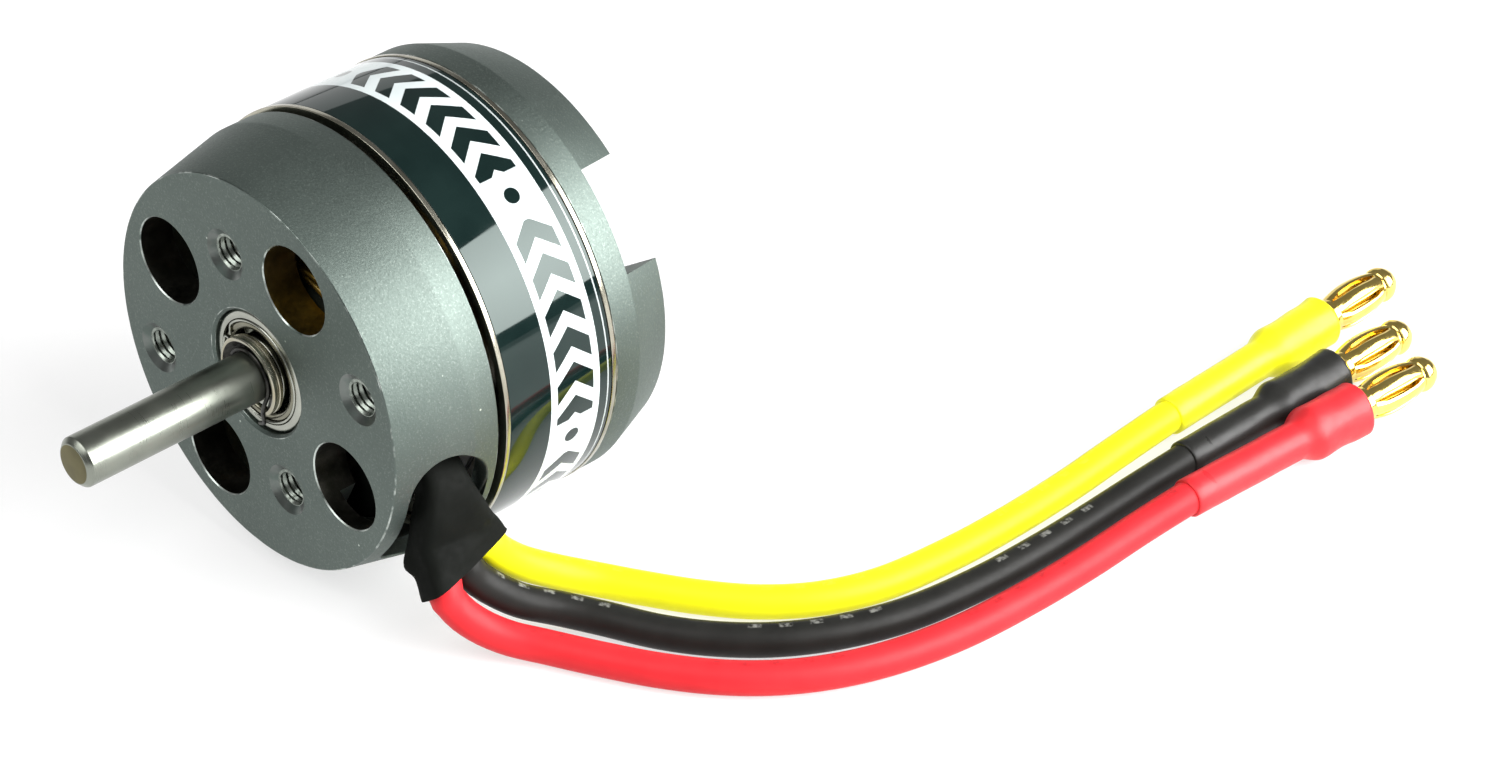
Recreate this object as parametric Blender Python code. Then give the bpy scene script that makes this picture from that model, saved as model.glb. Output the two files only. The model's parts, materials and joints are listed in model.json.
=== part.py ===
"""Brushless outrunner motor lying on its side, with three leads and bullet connectors.

Row frame: +Z up, the motor's axis along Y with the shaft towards -Y, and the origin on the
table under the middle of the motor's length. Every piece of the motor is modelled about its
axis, in millimetres: x to the right, station along the axis from the front mounting face
towards the rear, z up from the axis.
"""

import math

import bmesh
import bpy
from mathutils import Matrix, Vector

MM = 0.001

# Driving dimensions, in millimetres.
RING_RADIUS = 17.5
SHAFT_RADIUS = 2.0
SHAFT_FRONT = -16.75
SHAFT_REAR = 29.75
SHAFT_CHAMFERS = (0.4, 0.2)
RUNNING_GAP = 0.06
SEAT_GAP = 0.06

HOUSING_FACE_RADIUS = 15.95
HOUSING_RADIUS = 17.3
HOUSING_CONE_END = 6.4
HOUSING_END = 8.66
HOUSING_INNER_RADIUS = 16.0
HOUSING_INNER_ROOT_RADIUS = 15.6
FRONT_WALL = 3.0
HUB_RADIUS = 7.3
HUB_END = 8.3
TUBE_SEAT_START = 4.85
BEARING_STOP_RADIUS = 4.4
BEARING_STOP_GAP = 0.15
EDGE_BREAK = 0.2
COOLING_HOLE_RADIUS = 3.5
COOLING_HOLE_CIRCLE = 11.1
COOLING_HOLE_ANGLES = (152.5, 62.5, -27.2, 242.5)
SCREW_HOLE_RADIUS = 1.25
COUNTERSINK_RADIUS = 1.75
SCREW_HOLES = ((9.55, 107.5), (9.55, 287.5), (12.55, 17.5), (12.55, 197.5))
HOLE_CUT_DEPTH = 4.0
LEAD_SLOT_ANGLE = -27.0
LEAD_SLOT_STATION = 4.65
LEAD_SLOT_WIDTH = 6.3
LEAD_SLOT_LENGTH = 13.5
LEAD_SLOT_CUT_RADII = (11.5, 19.5)

BEARING_RADIUS = 5.0
BEARING_WIDTH = 4.0
FRONT_BEARING = 0.25
REAR_BEARING = 17.35
OUTER_RACE_RADII = (4.15, 4.4)
INNER_RACE_RADII = (2.9, 2.62)
RACE_GROOVE_HALF_WIDTHS = (0.75, 0.35)
BALL_RADIUS = 0.75
BALL_PITCH_RADIUS = 3.5
BALLS = 7
CAGE_RADII = (3.32, 3.68)
CAGE_HALF_WIDTH = 0.4
SHIELD_RADII = (3.05, 4.08)
SHIELD_THICKNESS = 0.15
FRONT_SHIELD_DEPTH = 0.25
REAR_SHIELD_DEPTH = 0.15
SNAP_RING_RADII = (3.82, 4.08)
SNAP_RING_DEPTHS = (0.03, 0.18)
SNAP_RING_HALF_ANGLE = 160.0
TUBE_RADIUS = 6.15
TUBE_LIP_RADIUS = 3.4
TUBE_SPAN = (5.0, 21.4)
TUBE_SEAT_GAP = 0.2

STACK_SPAN = (10.0, 19.5)
TEETH = 12
TOOTH_HALF_WIDTH = 1.5
YOKE_RADIUS = 8.3
SHOE_INNER_RADIUS = 12.4
SHOE_TIP_RADIUS = 12.9
STATOR_RADIUS = 13.7
SHOE_HALF_ANGLE = 12.4
INSULATOR_THICKNESS = 0.45
INSULATOR_GAP = 0.05
COIL_RADII = (8.75, 12.05)
COIL_OUTER_HALF_WIDTHS = (2.08, 2.95)
COIL_CORNER_RADII = (0.9, 0.2)
COIL_END_TURN = 1.2
COIL_END_GAP = 0.15
COIL_SIDE_GAP = 0.12

MAGNETS = 14
MAGNET_RADII = (14.05, 15.85)
MAGNET_SPAN_DEG = 22.0
RING_SPAN = (9.26, 20.0)
RING_INNER_RADIUS = 16.0
RING_LAND = 0.4
LABEL_GROOVE_RADIUS = 17.3
LABEL_RADII = (17.36, 17.45)
LABEL_END_GAP = 0.06
CLIP_RADIUS = 3.25
CLIP_SPAN = (-0.55, -0.05)
CLIP_ANGLES = (-90.0, 210.0)
WASHER_RADIUS = 3.0
WASHER_SPAN = (21.6, 22.4)

CAP_START = 20.07
CAP_RADIUS = 17.45
CAP_BAND_END = 22.3
CAP_END = 26.26
CAP_END_RADIUS = 16.0
CAP_INNER_RADIUS = 16.0
CAP_SKIRT_END = 22.0
CAP_POCKET_RADIUS = 14.7
CAP_WALL_FRONT = 24.1
CAP_HUB_START = 22.7
CAP_HUB_FILLET = 0.4
CAP_SLOT_WIDTH = 8.4
CAP_SLOT_ANGLES = (35.8, 155.8, 275.8)
CAP_SLOT_INNER_RADIUS = 8.2
CAP_HUB_RADIUS = 5.2
CAP_HUB_END = 29.5
GRUB_SCREW_STATION = 27.9
GRUB_SCREW_ANGLES = (95.8, 215.8)
GRUB_SCREW_RADIUS = 1.4
GRUB_SCREW_CLEARANCE = 0.2
GRUB_SCREW_REACH = (2.3, 5.0)

LEAD_DIAMETER = 2.65
LEAD_GAP = 0.3
SLEEVE_SMALL_RADIUS = 1.55
SLEEVE_SHOULDER = 1.2
SLEEVE_CUP_DEPTH = 5.5
SLEEVE_CUP_RADIUS = 1.8
BULLET_TAIL_RADIUS = 1.65
# The bullet past the rim of its sleeve: distance from the rim, radius.
BULLET_NOSE = (
    (-0.2, 1.65), (0.1, 1.4), (0.8, 1.4), (1.2, 1.75), (7.0, 1.75), (8.2, 1.15), (8.7, 0.5), (8.7, 0.0),
)

ROUND_SEGMENTS = 48
TUBE_SEGMENTS = 32
SMALL_SEGMENTS = 24
SLEEVE_SEGMENTS = 16
GRUB_SCREW_SEGMENTS = 12
WELD_MM = 1e-4

# The flat heat-shrink over the roots of the leads: centre, half width, half thickness.
HEAT_SHRINK = (
    ((9.6, 6.1, -2.7), 1.5, 1.7),
    ((12.0, 5.7, -3.2), 1.9, 1.9),
    ((14.5, 4.8, -3.9), 2.8, 2.1),
    ((16.2, 4.75, -5.5), 2.9, 2.05),
    ((17.2, 4.7, -7.2), 3.1, 1.95),
    ((17.6, 4.7, -8.8), 3.7, 1.8),
    ((17.4, 4.9, -10.4), 4.3, 1.65),
)
HEAT_SHRINK_MOUTH_WIDTH_DIRECTION = (-0.2, 0.93, 0.3)
HEAT_SHRINK_MOUTH_NORMAL = (0.3, 0.35, -0.88)
HEAT_SHRINK_SIDES = 14
HEAT_SHRINK_SQUARENESS = 0.7
HEAT_SHRINK_LEVEL_SECTIONS = 2

# Each lead's route: x, station, height above the table. It ends where its sleeve starts.
LEADS = {
    "yellow": {
        "route": (
            (17.0, 7.65, 7.45), (17.15, 8.2, 6.6), (17.3, 9.0, 5.6), (17.7, 10.5, 4.3),
            (18.7, 13.0, 2.75), (20.4, 15.4, 1.75), (22.8, 17.3, 1.38), (26.7, 19.8, 1.36),
            (30.2, 22.7, 1.36), (33.0, 26.4, 1.36), (34.8, 31.0, 1.36), (35.6, 37.0, 1.36),
            (35.8, 43.0, 1.36), (35.6, 49.5, 1.38), (35.4, 55.0, 1.7), (35.3, 61.0, 2.15),
        ),
        "heading_deg": 2.2, "shoulder_mm": 11.0, "sleeve_mm": 18.5, "big_radius": 2.1,
        "colour": (0.86, 0.8, 0.03),
    },
    "black": {
        "route": (
            (17.5, 5.05, 6.7), (17.75, 5.35, 6.0), (18.4, 6.2, 4.9), (19.8, 8.0, 3.4),
            (21.4, 10.5, 2.2), (23.8, 12.6, 1.55), (27.8, 14.8, 1.36), (31.4, 17.4, 1.36),
            (34.5, 20.7, 1.36), (37.0, 24.9, 1.36), (38.8, 30.0, 1.36), (39.7, 36.5, 1.36),
            (39.9, 43.0, 1.36), (39.8, 48.5, 1.4), (39.9, 53.0, 1.75), (40.1, 57.6, 2.15),
        ),
        "heading_deg": 0.0, "shoulder_mm": 9.2, "sleeve_mm": 17.2, "big_radius": 2.1,
        "colour": (0.02, 0.02, 0.022),
    },
    "red": {
        "route": (
            (18.1, 2.45, 5.9), (18.3, 2.6, 5.1), (18.8, 3.05, 4.05), (19.7, 4.1, 2.8),
            (21.0, 5.6, 1.85), (23.2, 7.3, 1.4), (27.2, 9.4, 1.36), (31.2, 11.7, 1.36),
            (34.8, 14.4, 1.36), (37.8, 17.6, 1.36), (40.2, 21.5, 1.36), (41.9, 26.0, 1.36),
            (43.0, 31.5, 1.36), (43.4, 38.0, 1.36), (43.4, 44.0, 1.4), (43.5, 49.5, 1.85),
            (43.8, 54.0, 2.35),
        ),
        "heading_deg": -2.6, "shoulder_mm": 11.8, "sleeve_mm": 18.2, "big_radius": 2.32,
        "colour": (0.8, 0.04, 0.05),
    },
}
POINTS_PER_LEAD = 30


def clear_scene():
    for obj in list(bpy.data.objects):
        bpy.data.objects.remove(obj, do_unlink=True)


def make_material(name, colour, metallic, roughness):
    material = bpy.data.materials.new(name)
    material.use_nodes = True
    shader = material.node_tree.nodes["Principled BSDF"]
    shader.inputs["Base Color"].default_value = (*colour, 1.0)
    shader.inputs["Metallic"].default_value = metallic
    shader.inputs["Roughness"].default_value = roughness
    return material


def make_axis_empty(name, middle_station):
    """An empty on the motor's axis at the front mounting face, so that local y is a station."""
    empty = bpy.data.objects.new(name, None)
    empty.empty_display_size = 0.01
    empty.location = (0.0, -middle_station * MM, RING_RADIUS * MM)
    bpy.context.scene.collection.objects.link(empty)
    return empty


def finish_mesh(name, bm, material, parent, sharp_deg=35.0):
    """Turns a bmesh in millimetres into a named object under its parent."""
    bmesh.ops.remove_doubles(bm, verts=bm.verts, dist=WELD_MM)
    bmesh.ops.recalc_face_normals(bm, faces=bm.faces)
    bmesh.ops.scale(bm, vec=(MM, MM, MM), verts=bm.verts)
    mesh = bpy.data.meshes.new(name)
    bm.to_mesh(mesh)
    bm.free()
    mesh.shade_smooth()
    mesh.set_sharp_from_angle(angle=math.radians(sharp_deg))
    if material:
        mesh.materials.append(material)
    obj = bpy.data.objects.new(name, mesh)
    bpy.context.scene.collection.objects.link(obj)
    obj.parent = parent
    return obj


def polar(radius, angle_deg, station=0.0):
    """A point at this radius and angle about the motor's axis, 0 degrees at +X and 90 at +Z."""
    angle = math.radians(angle_deg)
    return Vector((radius * math.cos(angle), station, radius * math.sin(angle)))


def add_turned(bm, profile, segments):
    """Spins (station, radius) points about local Y. A profile that ends on the axis stays open."""
    start = math.pi / segments
    verts = [bm.verts.new((r * math.cos(start), s, r * math.sin(start))) for s, r in profile]
    pairs = list(zip(verts, verts[1:]))
    if profile[0][1] > 0.0:
        pairs.append((verts[-1], verts[0]))
    edges = [bm.edges.new(pair) for pair in pairs]
    bmesh.ops.spin(
        bm, geom=verts + edges, cent=(0, 0, 0), axis=(0, 1, 0),
        angle=math.tau, steps=segments, use_merge=True,
    )


def turned(name, profile, material, parent, segments=SMALL_SEGMENTS):
    bm = bmesh.new()
    add_turned(bm, profile, segments)
    return finish_mesh(name, bm, material, parent)


def add_prism(bm, outline, span):
    """Extrudes a closed outline of (x, z) points along Y between two stations."""
    face = bm.faces.new([bm.verts.new((x, span[0], z)) for x, z in outline])
    made = bmesh.ops.extrude_face_region(bm, geom=[face])
    moved = [item for item in made["geom"] if isinstance(item, bmesh.types.BMVert)]
    bmesh.ops.translate(bm, vec=(0.0, span[1] - span[0], 0.0), verts=moved)


def prism(name, outline, span, material, parent):
    bm = bmesh.new()
    add_prism(bm, outline, span)
    return finish_mesh(name, bm, material, parent)


def arc(radius, start_deg, end_deg, steps):
    """(x, z) points along an arc about the motor's axis, both ends included."""
    points = [polar(radius, start_deg + (end_deg - start_deg) * i / steps) for i in range(steps + 1)]
    return [(p.x, p.z) for p in points]


def ring_sector(radii, start_deg, end_deg, steps):
    return arc(radii[0], start_deg, end_deg, steps) + arc(radii[1], end_deg, start_deg, steps)


def as_cutter(obj):
    obj.hide_render = True
    obj.display_type = "WIRE"
    return obj


def cut(obj, cutter):
    modifier = obj.modifiers.new(cutter.name, "BOOLEAN")
    modifier.operation = "DIFFERENCE"
    modifier.solver = "EXACT"
    modifier.object = cutter


def add_moved(bm, build, matrix):
    """Adds a shape to the bmesh and moves only that shape."""
    part = bmesh.new()
    build(part)
    bmesh.ops.remove_doubles(part, verts=part.verts, dist=WELD_MM)
    bmesh.ops.recalc_face_normals(part, faces=part.faces)
    bmesh.ops.transform(part, matrix=matrix, verts=part.verts)
    mesh = bpy.data.meshes.new("piece")
    part.to_mesh(mesh)
    part.free()
    bm.from_mesh(mesh)
    bpy.data.meshes.remove(mesh)


def axis_turn(angle_deg):
    """A turn about the motor's axis, from +X towards +Z."""
    return Matrix.Rotation(-math.radians(angle_deg), 4, "Y")


def hole_cutter(name, holes, parent):
    """holes: (profile of (station, radius), circle radius, angle), each hole parallel to the axis."""
    bm = bmesh.new()
    for profile, circle, angle in holes:
        place = Matrix.Translation(polar(circle, angle))
        add_moved(bm, lambda part, p=profile: add_turned(part, p, SMALL_SEGMENTS), place)
    return as_cutter(finish_mesh(name, bm, None, parent))


def radial_cutter(name, angles, station, radius, reach, parent):
    """Round holes that point out from the axis."""
    bm = bmesh.new()
    profile = ((reach[0], 0.0), (reach[0], radius), (reach[1], radius), (reach[1], 0.0))
    for angle in angles:
        turn = axis_turn(angle) @ Matrix.Rotation(-math.pi / 2, 4, "Z")
        place = Matrix.Translation((0.0, station, 0.0)) @ turn
        add_moved(bm, lambda part: add_turned(part, profile, SLEEVE_SEGMENTS), place)
    return as_cutter(finish_mesh(name, bm, None, parent))


def lead_slot_cutter(parent):
    """A stadium, long round the housing and narrow along it, pushed through its side wall."""
    half_width = LEAD_SLOT_WIDTH / 2
    centre = LEAD_SLOT_LENGTH / 2 - half_width
    steps = 10
    outline = []
    for side in (1, -1):
        for i in range(steps + 1):
            angle = math.radians(180 * i / steps - 90 * side)
            outline.append((half_width * math.sin(angle), side * centre + half_width * math.cos(angle)))
    bm = bmesh.new()
    along = Matrix.Rotation(-math.pi / 2, 4, "Z")
    place = Matrix.Translation((0.0, LEAD_SLOT_STATION, 0.0)) @ axis_turn(LEAD_SLOT_ANGLE) @ along
    add_moved(bm, lambda part: add_prism(part, outline, LEAD_SLOT_CUT_RADII), place)
    return as_cutter(finish_mesh("lead_slot_cutter", bm, None, parent))


def make_front_housing(metal, parent):
    bore = BEARING_RADIUS + SEAT_GAP
    tube_bore = TUBE_RADIUS + TUBE_SEAT_GAP
    stop = FRONT_BEARING + BEARING_WIDTH + BEARING_STOP_GAP
    profile = (
        (0.0, HOUSING_FACE_RADIUS), (HOUSING_CONE_END, HOUSING_RADIUS), (HOUSING_END, HOUSING_RADIUS),
        (HOUSING_END, HOUSING_INNER_RADIUS), (FRONT_WALL, HOUSING_INNER_ROOT_RADIUS),
        (FRONT_WALL, HUB_RADIUS), (HUB_END, HUB_RADIUS), (HUB_END, tube_bore),
        (TUBE_SEAT_START, tube_bore), (TUBE_SEAT_START, BEARING_STOP_RADIUS),
        (stop, BEARING_STOP_RADIUS), (stop, bore), (EDGE_BREAK, bore), (0.0, bore + EDGE_BREAK),
    )
    housing = turned("front_housing", profile, metal, parent, ROUND_SEGMENTS)
    cooling = (
        (-1.0, 0.0), (-1.0, COOLING_HOLE_RADIUS), (HOLE_CUT_DEPTH, COOLING_HOLE_RADIUS),
        (HOLE_CUT_DEPTH, 0.0),
    )
    screw = (
        (-1.0, 0.0), (-1.0, COUNTERSINK_RADIUS + 0.5), (0.0, COUNTERSINK_RADIUS),
        (COUNTERSINK_RADIUS - SCREW_HOLE_RADIUS, SCREW_HOLE_RADIUS),
        (HOLE_CUT_DEPTH, SCREW_HOLE_RADIUS), (HOLE_CUT_DEPTH, 0.0),
    )
    holes = [(cooling, COOLING_HOLE_CIRCLE, angle) for angle in COOLING_HOLE_ANGLES]
    holes += [(screw, circle, angle) for circle, angle in SCREW_HOLES]
    cut(housing, hole_cutter("housing_hole_cutter", holes, parent))
    cut(housing, lead_slot_cutter(parent))


def make_bearing_tube(metal, parent):
    """The tube that carries the stator, with the rear bearing's seat at its open end."""
    seat = BEARING_RADIUS + SEAT_GAP
    stop = REAR_BEARING - 0.1
    profile = (
        (TUBE_SPAN[0], TUBE_LIP_RADIUS), (TUBE_SPAN[0], TUBE_RADIUS), (TUBE_SPAN[1], TUBE_RADIUS),
        (TUBE_SPAN[1], seat), (stop, seat), (stop, TUBE_LIP_RADIUS),
    )
    turned("bearing_tube", profile, metal, parent, TUBE_SEGMENTS)


def make_bearing(name, front, materials, outer_parent, inner_parent, cage_parent):
    """A deep-groove ball bearing: two grooved races and a cage that carries the balls."""
    middle = front + BEARING_WIDTH / 2
    rear = front + BEARING_WIDTH
    wide, narrow = RACE_GROOVE_HALF_WIDTHS
    land, bottom = OUTER_RACE_RADII
    outer = [(front, land), (front, BEARING_RADIUS), (rear, BEARING_RADIUS), (rear, land)]
    outer += [(middle + wide, land), (middle + narrow, bottom)]
    outer += [(middle - narrow, bottom), (middle - wide, land)]
    turned(f"{name}_outer_race", outer, materials["bearing_steel"], outer_parent)
    bore = SHAFT_RADIUS + RUNNING_GAP
    land, bottom = INNER_RACE_RADII
    inner = [(front, bore), (front, land), (middle - wide, land), (middle - narrow, bottom)]
    inner += [(middle + narrow, bottom), (middle + wide, land), (rear, land), (rear, bore)]
    turned(f"{name}_inner_race", inner, materials["bearing_steel"], inner_parent)
    make_ball_cage(f"{name}_ball_cage", middle, materials["bearing_steel"], cage_parent)


def make_ball_cage(name, middle, steel, parent):
    low, high = middle - CAGE_HALF_WIDTH, middle + CAGE_HALF_WIDTH
    cage = ((low, CAGE_RADII[0]), (low, CAGE_RADII[1]), (high, CAGE_RADII[1]), (high, CAGE_RADII[0]))
    ring = turned(name, cage, steel, parent)
    bm = bmesh.new()
    for i in range(BALLS):
        place = Matrix.Translation(polar(BALL_PITCH_RADIUS, 360.0 * i / BALLS, middle))
        bmesh.ops.create_uvsphere(bm, u_segments=6, v_segments=5, radius=BALL_RADIUS, matrix=place)
    balls = as_cutter(finish_mesh(f"{name}_balls", bm, None, parent))
    modifier = ring.modifiers.new("balls", "BOOLEAN")
    modifier.operation = "UNION"
    modifier.solver = "EXACT"
    modifier.object = balls


def tooth_outline(with_shoes):
    """Outline of a star of straight teeth around the yoke, each ending in a shoe if asked."""
    half_width = TOOTH_HALF_WIDTH
    outline = []
    for tooth in range(TEETH):
        middle = 360.0 * tooth / TEETH
        turn = Matrix.Rotation(-math.radians(middle), 4, "Y")
        root = math.sqrt(YOKE_RADIUS**2 - half_width**2)
        neck = math.sqrt(SHOE_INNER_RADIUS**2 - half_width**2)
        points = [Vector((root, 0.0, -half_width)), Vector((neck, 0.0, -half_width))]
        if with_shoes:
            points.append(polar(SHOE_TIP_RADIUS, -SHOE_HALF_ANGLE))
            for i in range(5):
                points.append(polar(STATOR_RADIUS, SHOE_HALF_ANGLE * (i / 2 - 1)))
            points.append(polar(SHOE_TIP_RADIUS, SHOE_HALF_ANGLE))
        points += [Vector((neck, 0.0, half_width)), Vector((root, 0.0, half_width))]
        points.append(polar(YOKE_RADIUS, 180.0 / TEETH))
        outline += [turn @ point for point in points]
    return [(point.x, point.z) for point in outline]


def make_toothed_plate(name, with_shoes, span, material, parent, bore_cutter):
    plate = prism(name, tooth_outline(with_shoes), span, material, parent)
    cut(plate, bore_cutter)


def make_stator(materials, parent):
    bore = TUBE_RADIUS + TUBE_SEAT_GAP
    profile = ((STACK_SPAN[0] - 3, 0.0), (STACK_SPAN[0] - 3, bore), (STACK_SPAN[1] + 3, bore),
               (STACK_SPAN[1] + 3, 0.0))
    bore_cutter = as_cutter(turned("stator_bore_cutter", profile, None, parent, ROUND_SEGMENTS))
    make_toothed_plate("stator_core", True, STACK_SPAN, materials["lamination"], parent, bore_cutter)
    near, far = INSULATOR_GAP, INSULATOR_GAP + INSULATOR_THICKNESS
    ends = {
        "front_end_insulator": (STACK_SPAN[0] - far, STACK_SPAN[0] - near),
        "rear_end_insulator": (STACK_SPAN[1] + near, STACK_SPAN[1] + far),
    }
    for name, span in ends.items():
        make_toothed_plate(name, False, span, materials["insulator"], parent, bore_cutter)
    for tooth in range(TEETH):
        make_coil(f"stator_coil_{tooth + 1:02d}", 360.0 * tooth / TEETH, materials["copper"], parent)


def rounded_rectangle(half_y, half_z, radius, steps=2):
    """(y, z) points around a rectangle with rounded corners."""
    points = []
    for corner in range(4):
        sign_y = 1 if corner in (0, 3) else -1
        sign_z = 1 if corner in (0, 1) else -1
        for i in range(steps + 1):
            angle = math.radians(90 * corner + 90 * i / steps)
            points.append((sign_y * (half_y - radius) + radius * math.cos(angle),
                           sign_z * (half_z - radius) + radius * math.sin(angle)))
    return points


def make_coil(name, angle_deg, copper, parent):
    """One coil: a rounded frame around a tooth, wider at the rim than at the yoke."""
    middle = sum(STACK_SPAN) / 2
    inner_y = (STACK_SPAN[1] - STACK_SPAN[0]) / 2 + INSULATOR_THICKNESS + COIL_END_GAP
    outer_y = inner_y + COIL_END_TURN
    inner_z = TOOTH_HALF_WIDTH + COIL_SIDE_GAP
    outer_corner, inner_corner = COIL_CORNER_RADII
    turn = axis_turn(angle_deg)
    loops = []
    bm = bmesh.new()
    for radius, outer_z in zip(COIL_RADII, COIL_OUTER_HALF_WIDTHS):
        frame = ((outer_y, outer_z, outer_corner), (inner_y, inner_z, inner_corner))
        for half_y, half_z, corner in frame:
            points = rounded_rectangle(half_y, half_z, corner)
            loops.append([bm.verts.new(turn @ Vector((radius, middle + y, z))) for y, z in points])
    outer_low, inner_low, outer_high, inner_high = loops
    for first, second in ((outer_low, outer_high), (outer_high, inner_high),
                          (inner_high, inner_low), (inner_low, outer_low)):
        for i in range(len(first)):
            j = (i + 1) % len(first)
            bm.faces.new((first[i], first[j], second[j], second[i]))
    finish_mesh(name, bm, copper, parent)


def make_bearing_trim(materials, parent):
    """Shields between the races, and the C-shaped wire that holds the front one."""
    steel = materials["bearing_steel"]
    shields = {
        "front_bearing_shield": FRONT_BEARING + FRONT_SHIELD_DEPTH,
        "rear_bearing_shield": REAR_BEARING + BEARING_WIDTH - REAR_SHIELD_DEPTH - SHIELD_THICKNESS,
    }
    for name, front in shields.items():
        back = front + SHIELD_THICKNESS
        profile = ((front, SHIELD_RADII[0]), (front, SHIELD_RADII[1]), (back, SHIELD_RADII[1]),
                   (back, SHIELD_RADII[0]))
        turned(name, profile, steel, parent)
    wire = ring_sector(SNAP_RING_RADII, -SNAP_RING_HALF_ANGLE, SNAP_RING_HALF_ANGLE, 20)
    span = (FRONT_BEARING + SNAP_RING_DEPTHS[0], FRONT_BEARING + SNAP_RING_DEPTHS[1])
    prism("front_bearing_snap_ring", wire, span, steel, parent)


def make_rotor(materials, parent):
    front_chamfer, rear_chamfer = SHAFT_CHAMFERS
    shaft = (
        (SHAFT_FRONT, 0.0), (SHAFT_FRONT, SHAFT_RADIUS - front_chamfer),
        (SHAFT_FRONT + front_chamfer, SHAFT_RADIUS), (SHAFT_REAR - rear_chamfer, SHAFT_RADIUS),
        (SHAFT_REAR, SHAFT_RADIUS - rear_chamfer), (SHAFT_REAR, 0.0),
    )
    turned("shaft", shaft, materials["shaft_steel"], parent)
    bore = SHAFT_RADIUS + RUNNING_GAP
    clip = ring_sector((bore, CLIP_RADIUS), *CLIP_ANGLES, 18)
    prism("shaft_retaining_clip", clip, CLIP_SPAN, materials["bearing_steel"], parent)
    washer = ((WASHER_SPAN[0], bore), (WASHER_SPAN[0], WASHER_RADIUS), (WASHER_SPAN[1], WASHER_RADIUS),
              (WASHER_SPAN[1], bore))
    turned("rear_thrust_washer", washer, materials["bearing_steel"], parent)
    groove = (RING_SPAN[0] + RING_LAND, RING_SPAN[1] - RING_LAND)
    ring = (
        (RING_SPAN[0], RING_INNER_RADIUS), (RING_SPAN[0], RING_RADIUS), (groove[0], RING_RADIUS),
        (groove[0], LABEL_GROOVE_RADIUS), (groove[1], LABEL_GROOVE_RADIUS), (groove[1], RING_RADIUS),
        (RING_SPAN[1], RING_RADIUS), (RING_SPAN[1], RING_INNER_RADIUS),
    )
    turned("flux_ring", ring, materials["ring_steel"], parent, ROUND_SEGMENTS)
    ends = (groove[0] + LABEL_END_GAP, groove[1] - LABEL_END_GAP)
    label = ((ends[0], LABEL_RADII[0]), (ends[0], LABEL_RADII[1]), (ends[1], LABEL_RADII[1]),
             (ends[1], LABEL_RADII[0]))
    turned("label_sleeve", label, materials["label"], parent, ROUND_SEGMENTS)
    for i in range(MAGNETS):
        middle = 360.0 * i / MAGNETS
        outline = ring_sector(MAGNET_RADII, middle - MAGNET_SPAN_DEG / 2, middle + MAGNET_SPAN_DEG / 2, 3)
        prism(f"magnet_{i + 1:02d}", outline, STACK_SPAN, materials["magnet"], parent)
    make_rear_cap(materials, parent)


def make_rear_cap(materials, parent):
    bore = SHAFT_RADIUS + RUNNING_GAP
    profile = (
        (CAP_START, CAP_RADIUS), (CAP_BAND_END, CAP_RADIUS), (CAP_END, CAP_END_RADIUS),
        (CAP_END, CAP_HUB_RADIUS), (CAP_HUB_END, CAP_HUB_RADIUS), (CAP_HUB_END, bore),
        (CAP_HUB_START, bore), (CAP_HUB_START, CAP_HUB_RADIUS),
        (CAP_WALL_FRONT, CAP_HUB_RADIUS + CAP_HUB_FILLET), (CAP_WALL_FRONT, CAP_POCKET_RADIUS),
        (CAP_SKIRT_END, CAP_INNER_RADIUS), (CAP_START, CAP_INNER_RADIUS),
    )
    cap = turned("rear_cap", profile, materials["anodised"], parent, ROUND_SEGMENTS)
    half = CAP_SLOT_WIDTH / 2
    reach = (CAP_SLOT_INNER_RADIUS, RING_RADIUS + 2)
    outline = ((reach[0], -half), (reach[1], -half), (reach[1], half), (reach[0], half))
    bm = bmesh.new()
    for angle in CAP_SLOT_ANGLES:
        span = (CAP_BAND_END, CAP_END + 1)
        add_moved(bm, lambda part, s=span: add_prism(part, outline, s), axis_turn(angle))
    cut(cap, as_cutter(finish_mesh("cap_slot_cutter", bm, None, parent)))
    reach = (SHAFT_RADIUS - 1, CAP_HUB_RADIUS + 1)
    cut(cap, radial_cutter("grub_screw_cutter", GRUB_SCREW_ANGLES, GRUB_SCREW_STATION,
                           GRUB_SCREW_RADIUS + GRUB_SCREW_CLEARANCE, reach, parent))
    screw = ((GRUB_SCREW_REACH[0], 0.0), (GRUB_SCREW_REACH[0], GRUB_SCREW_RADIUS),
             (GRUB_SCREW_REACH[1], GRUB_SCREW_RADIUS), (GRUB_SCREW_REACH[1], 0.0))
    for i, angle in enumerate(GRUB_SCREW_ANGLES):
        bm = bmesh.new()
        place = axis_turn(angle) @ Matrix.Rotation(-math.pi / 2, 4, "Z")
        place = Matrix.Translation((0.0, GRUB_SCREW_STATION, 0.0)) @ place
        add_moved(bm, lambda part: add_turned(part, screw, GRUB_SCREW_SEGMENTS), place)
        finish_mesh(f"rear_grub_screw_{i + 1}", bm, materials["bearing_steel"], parent)


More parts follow.
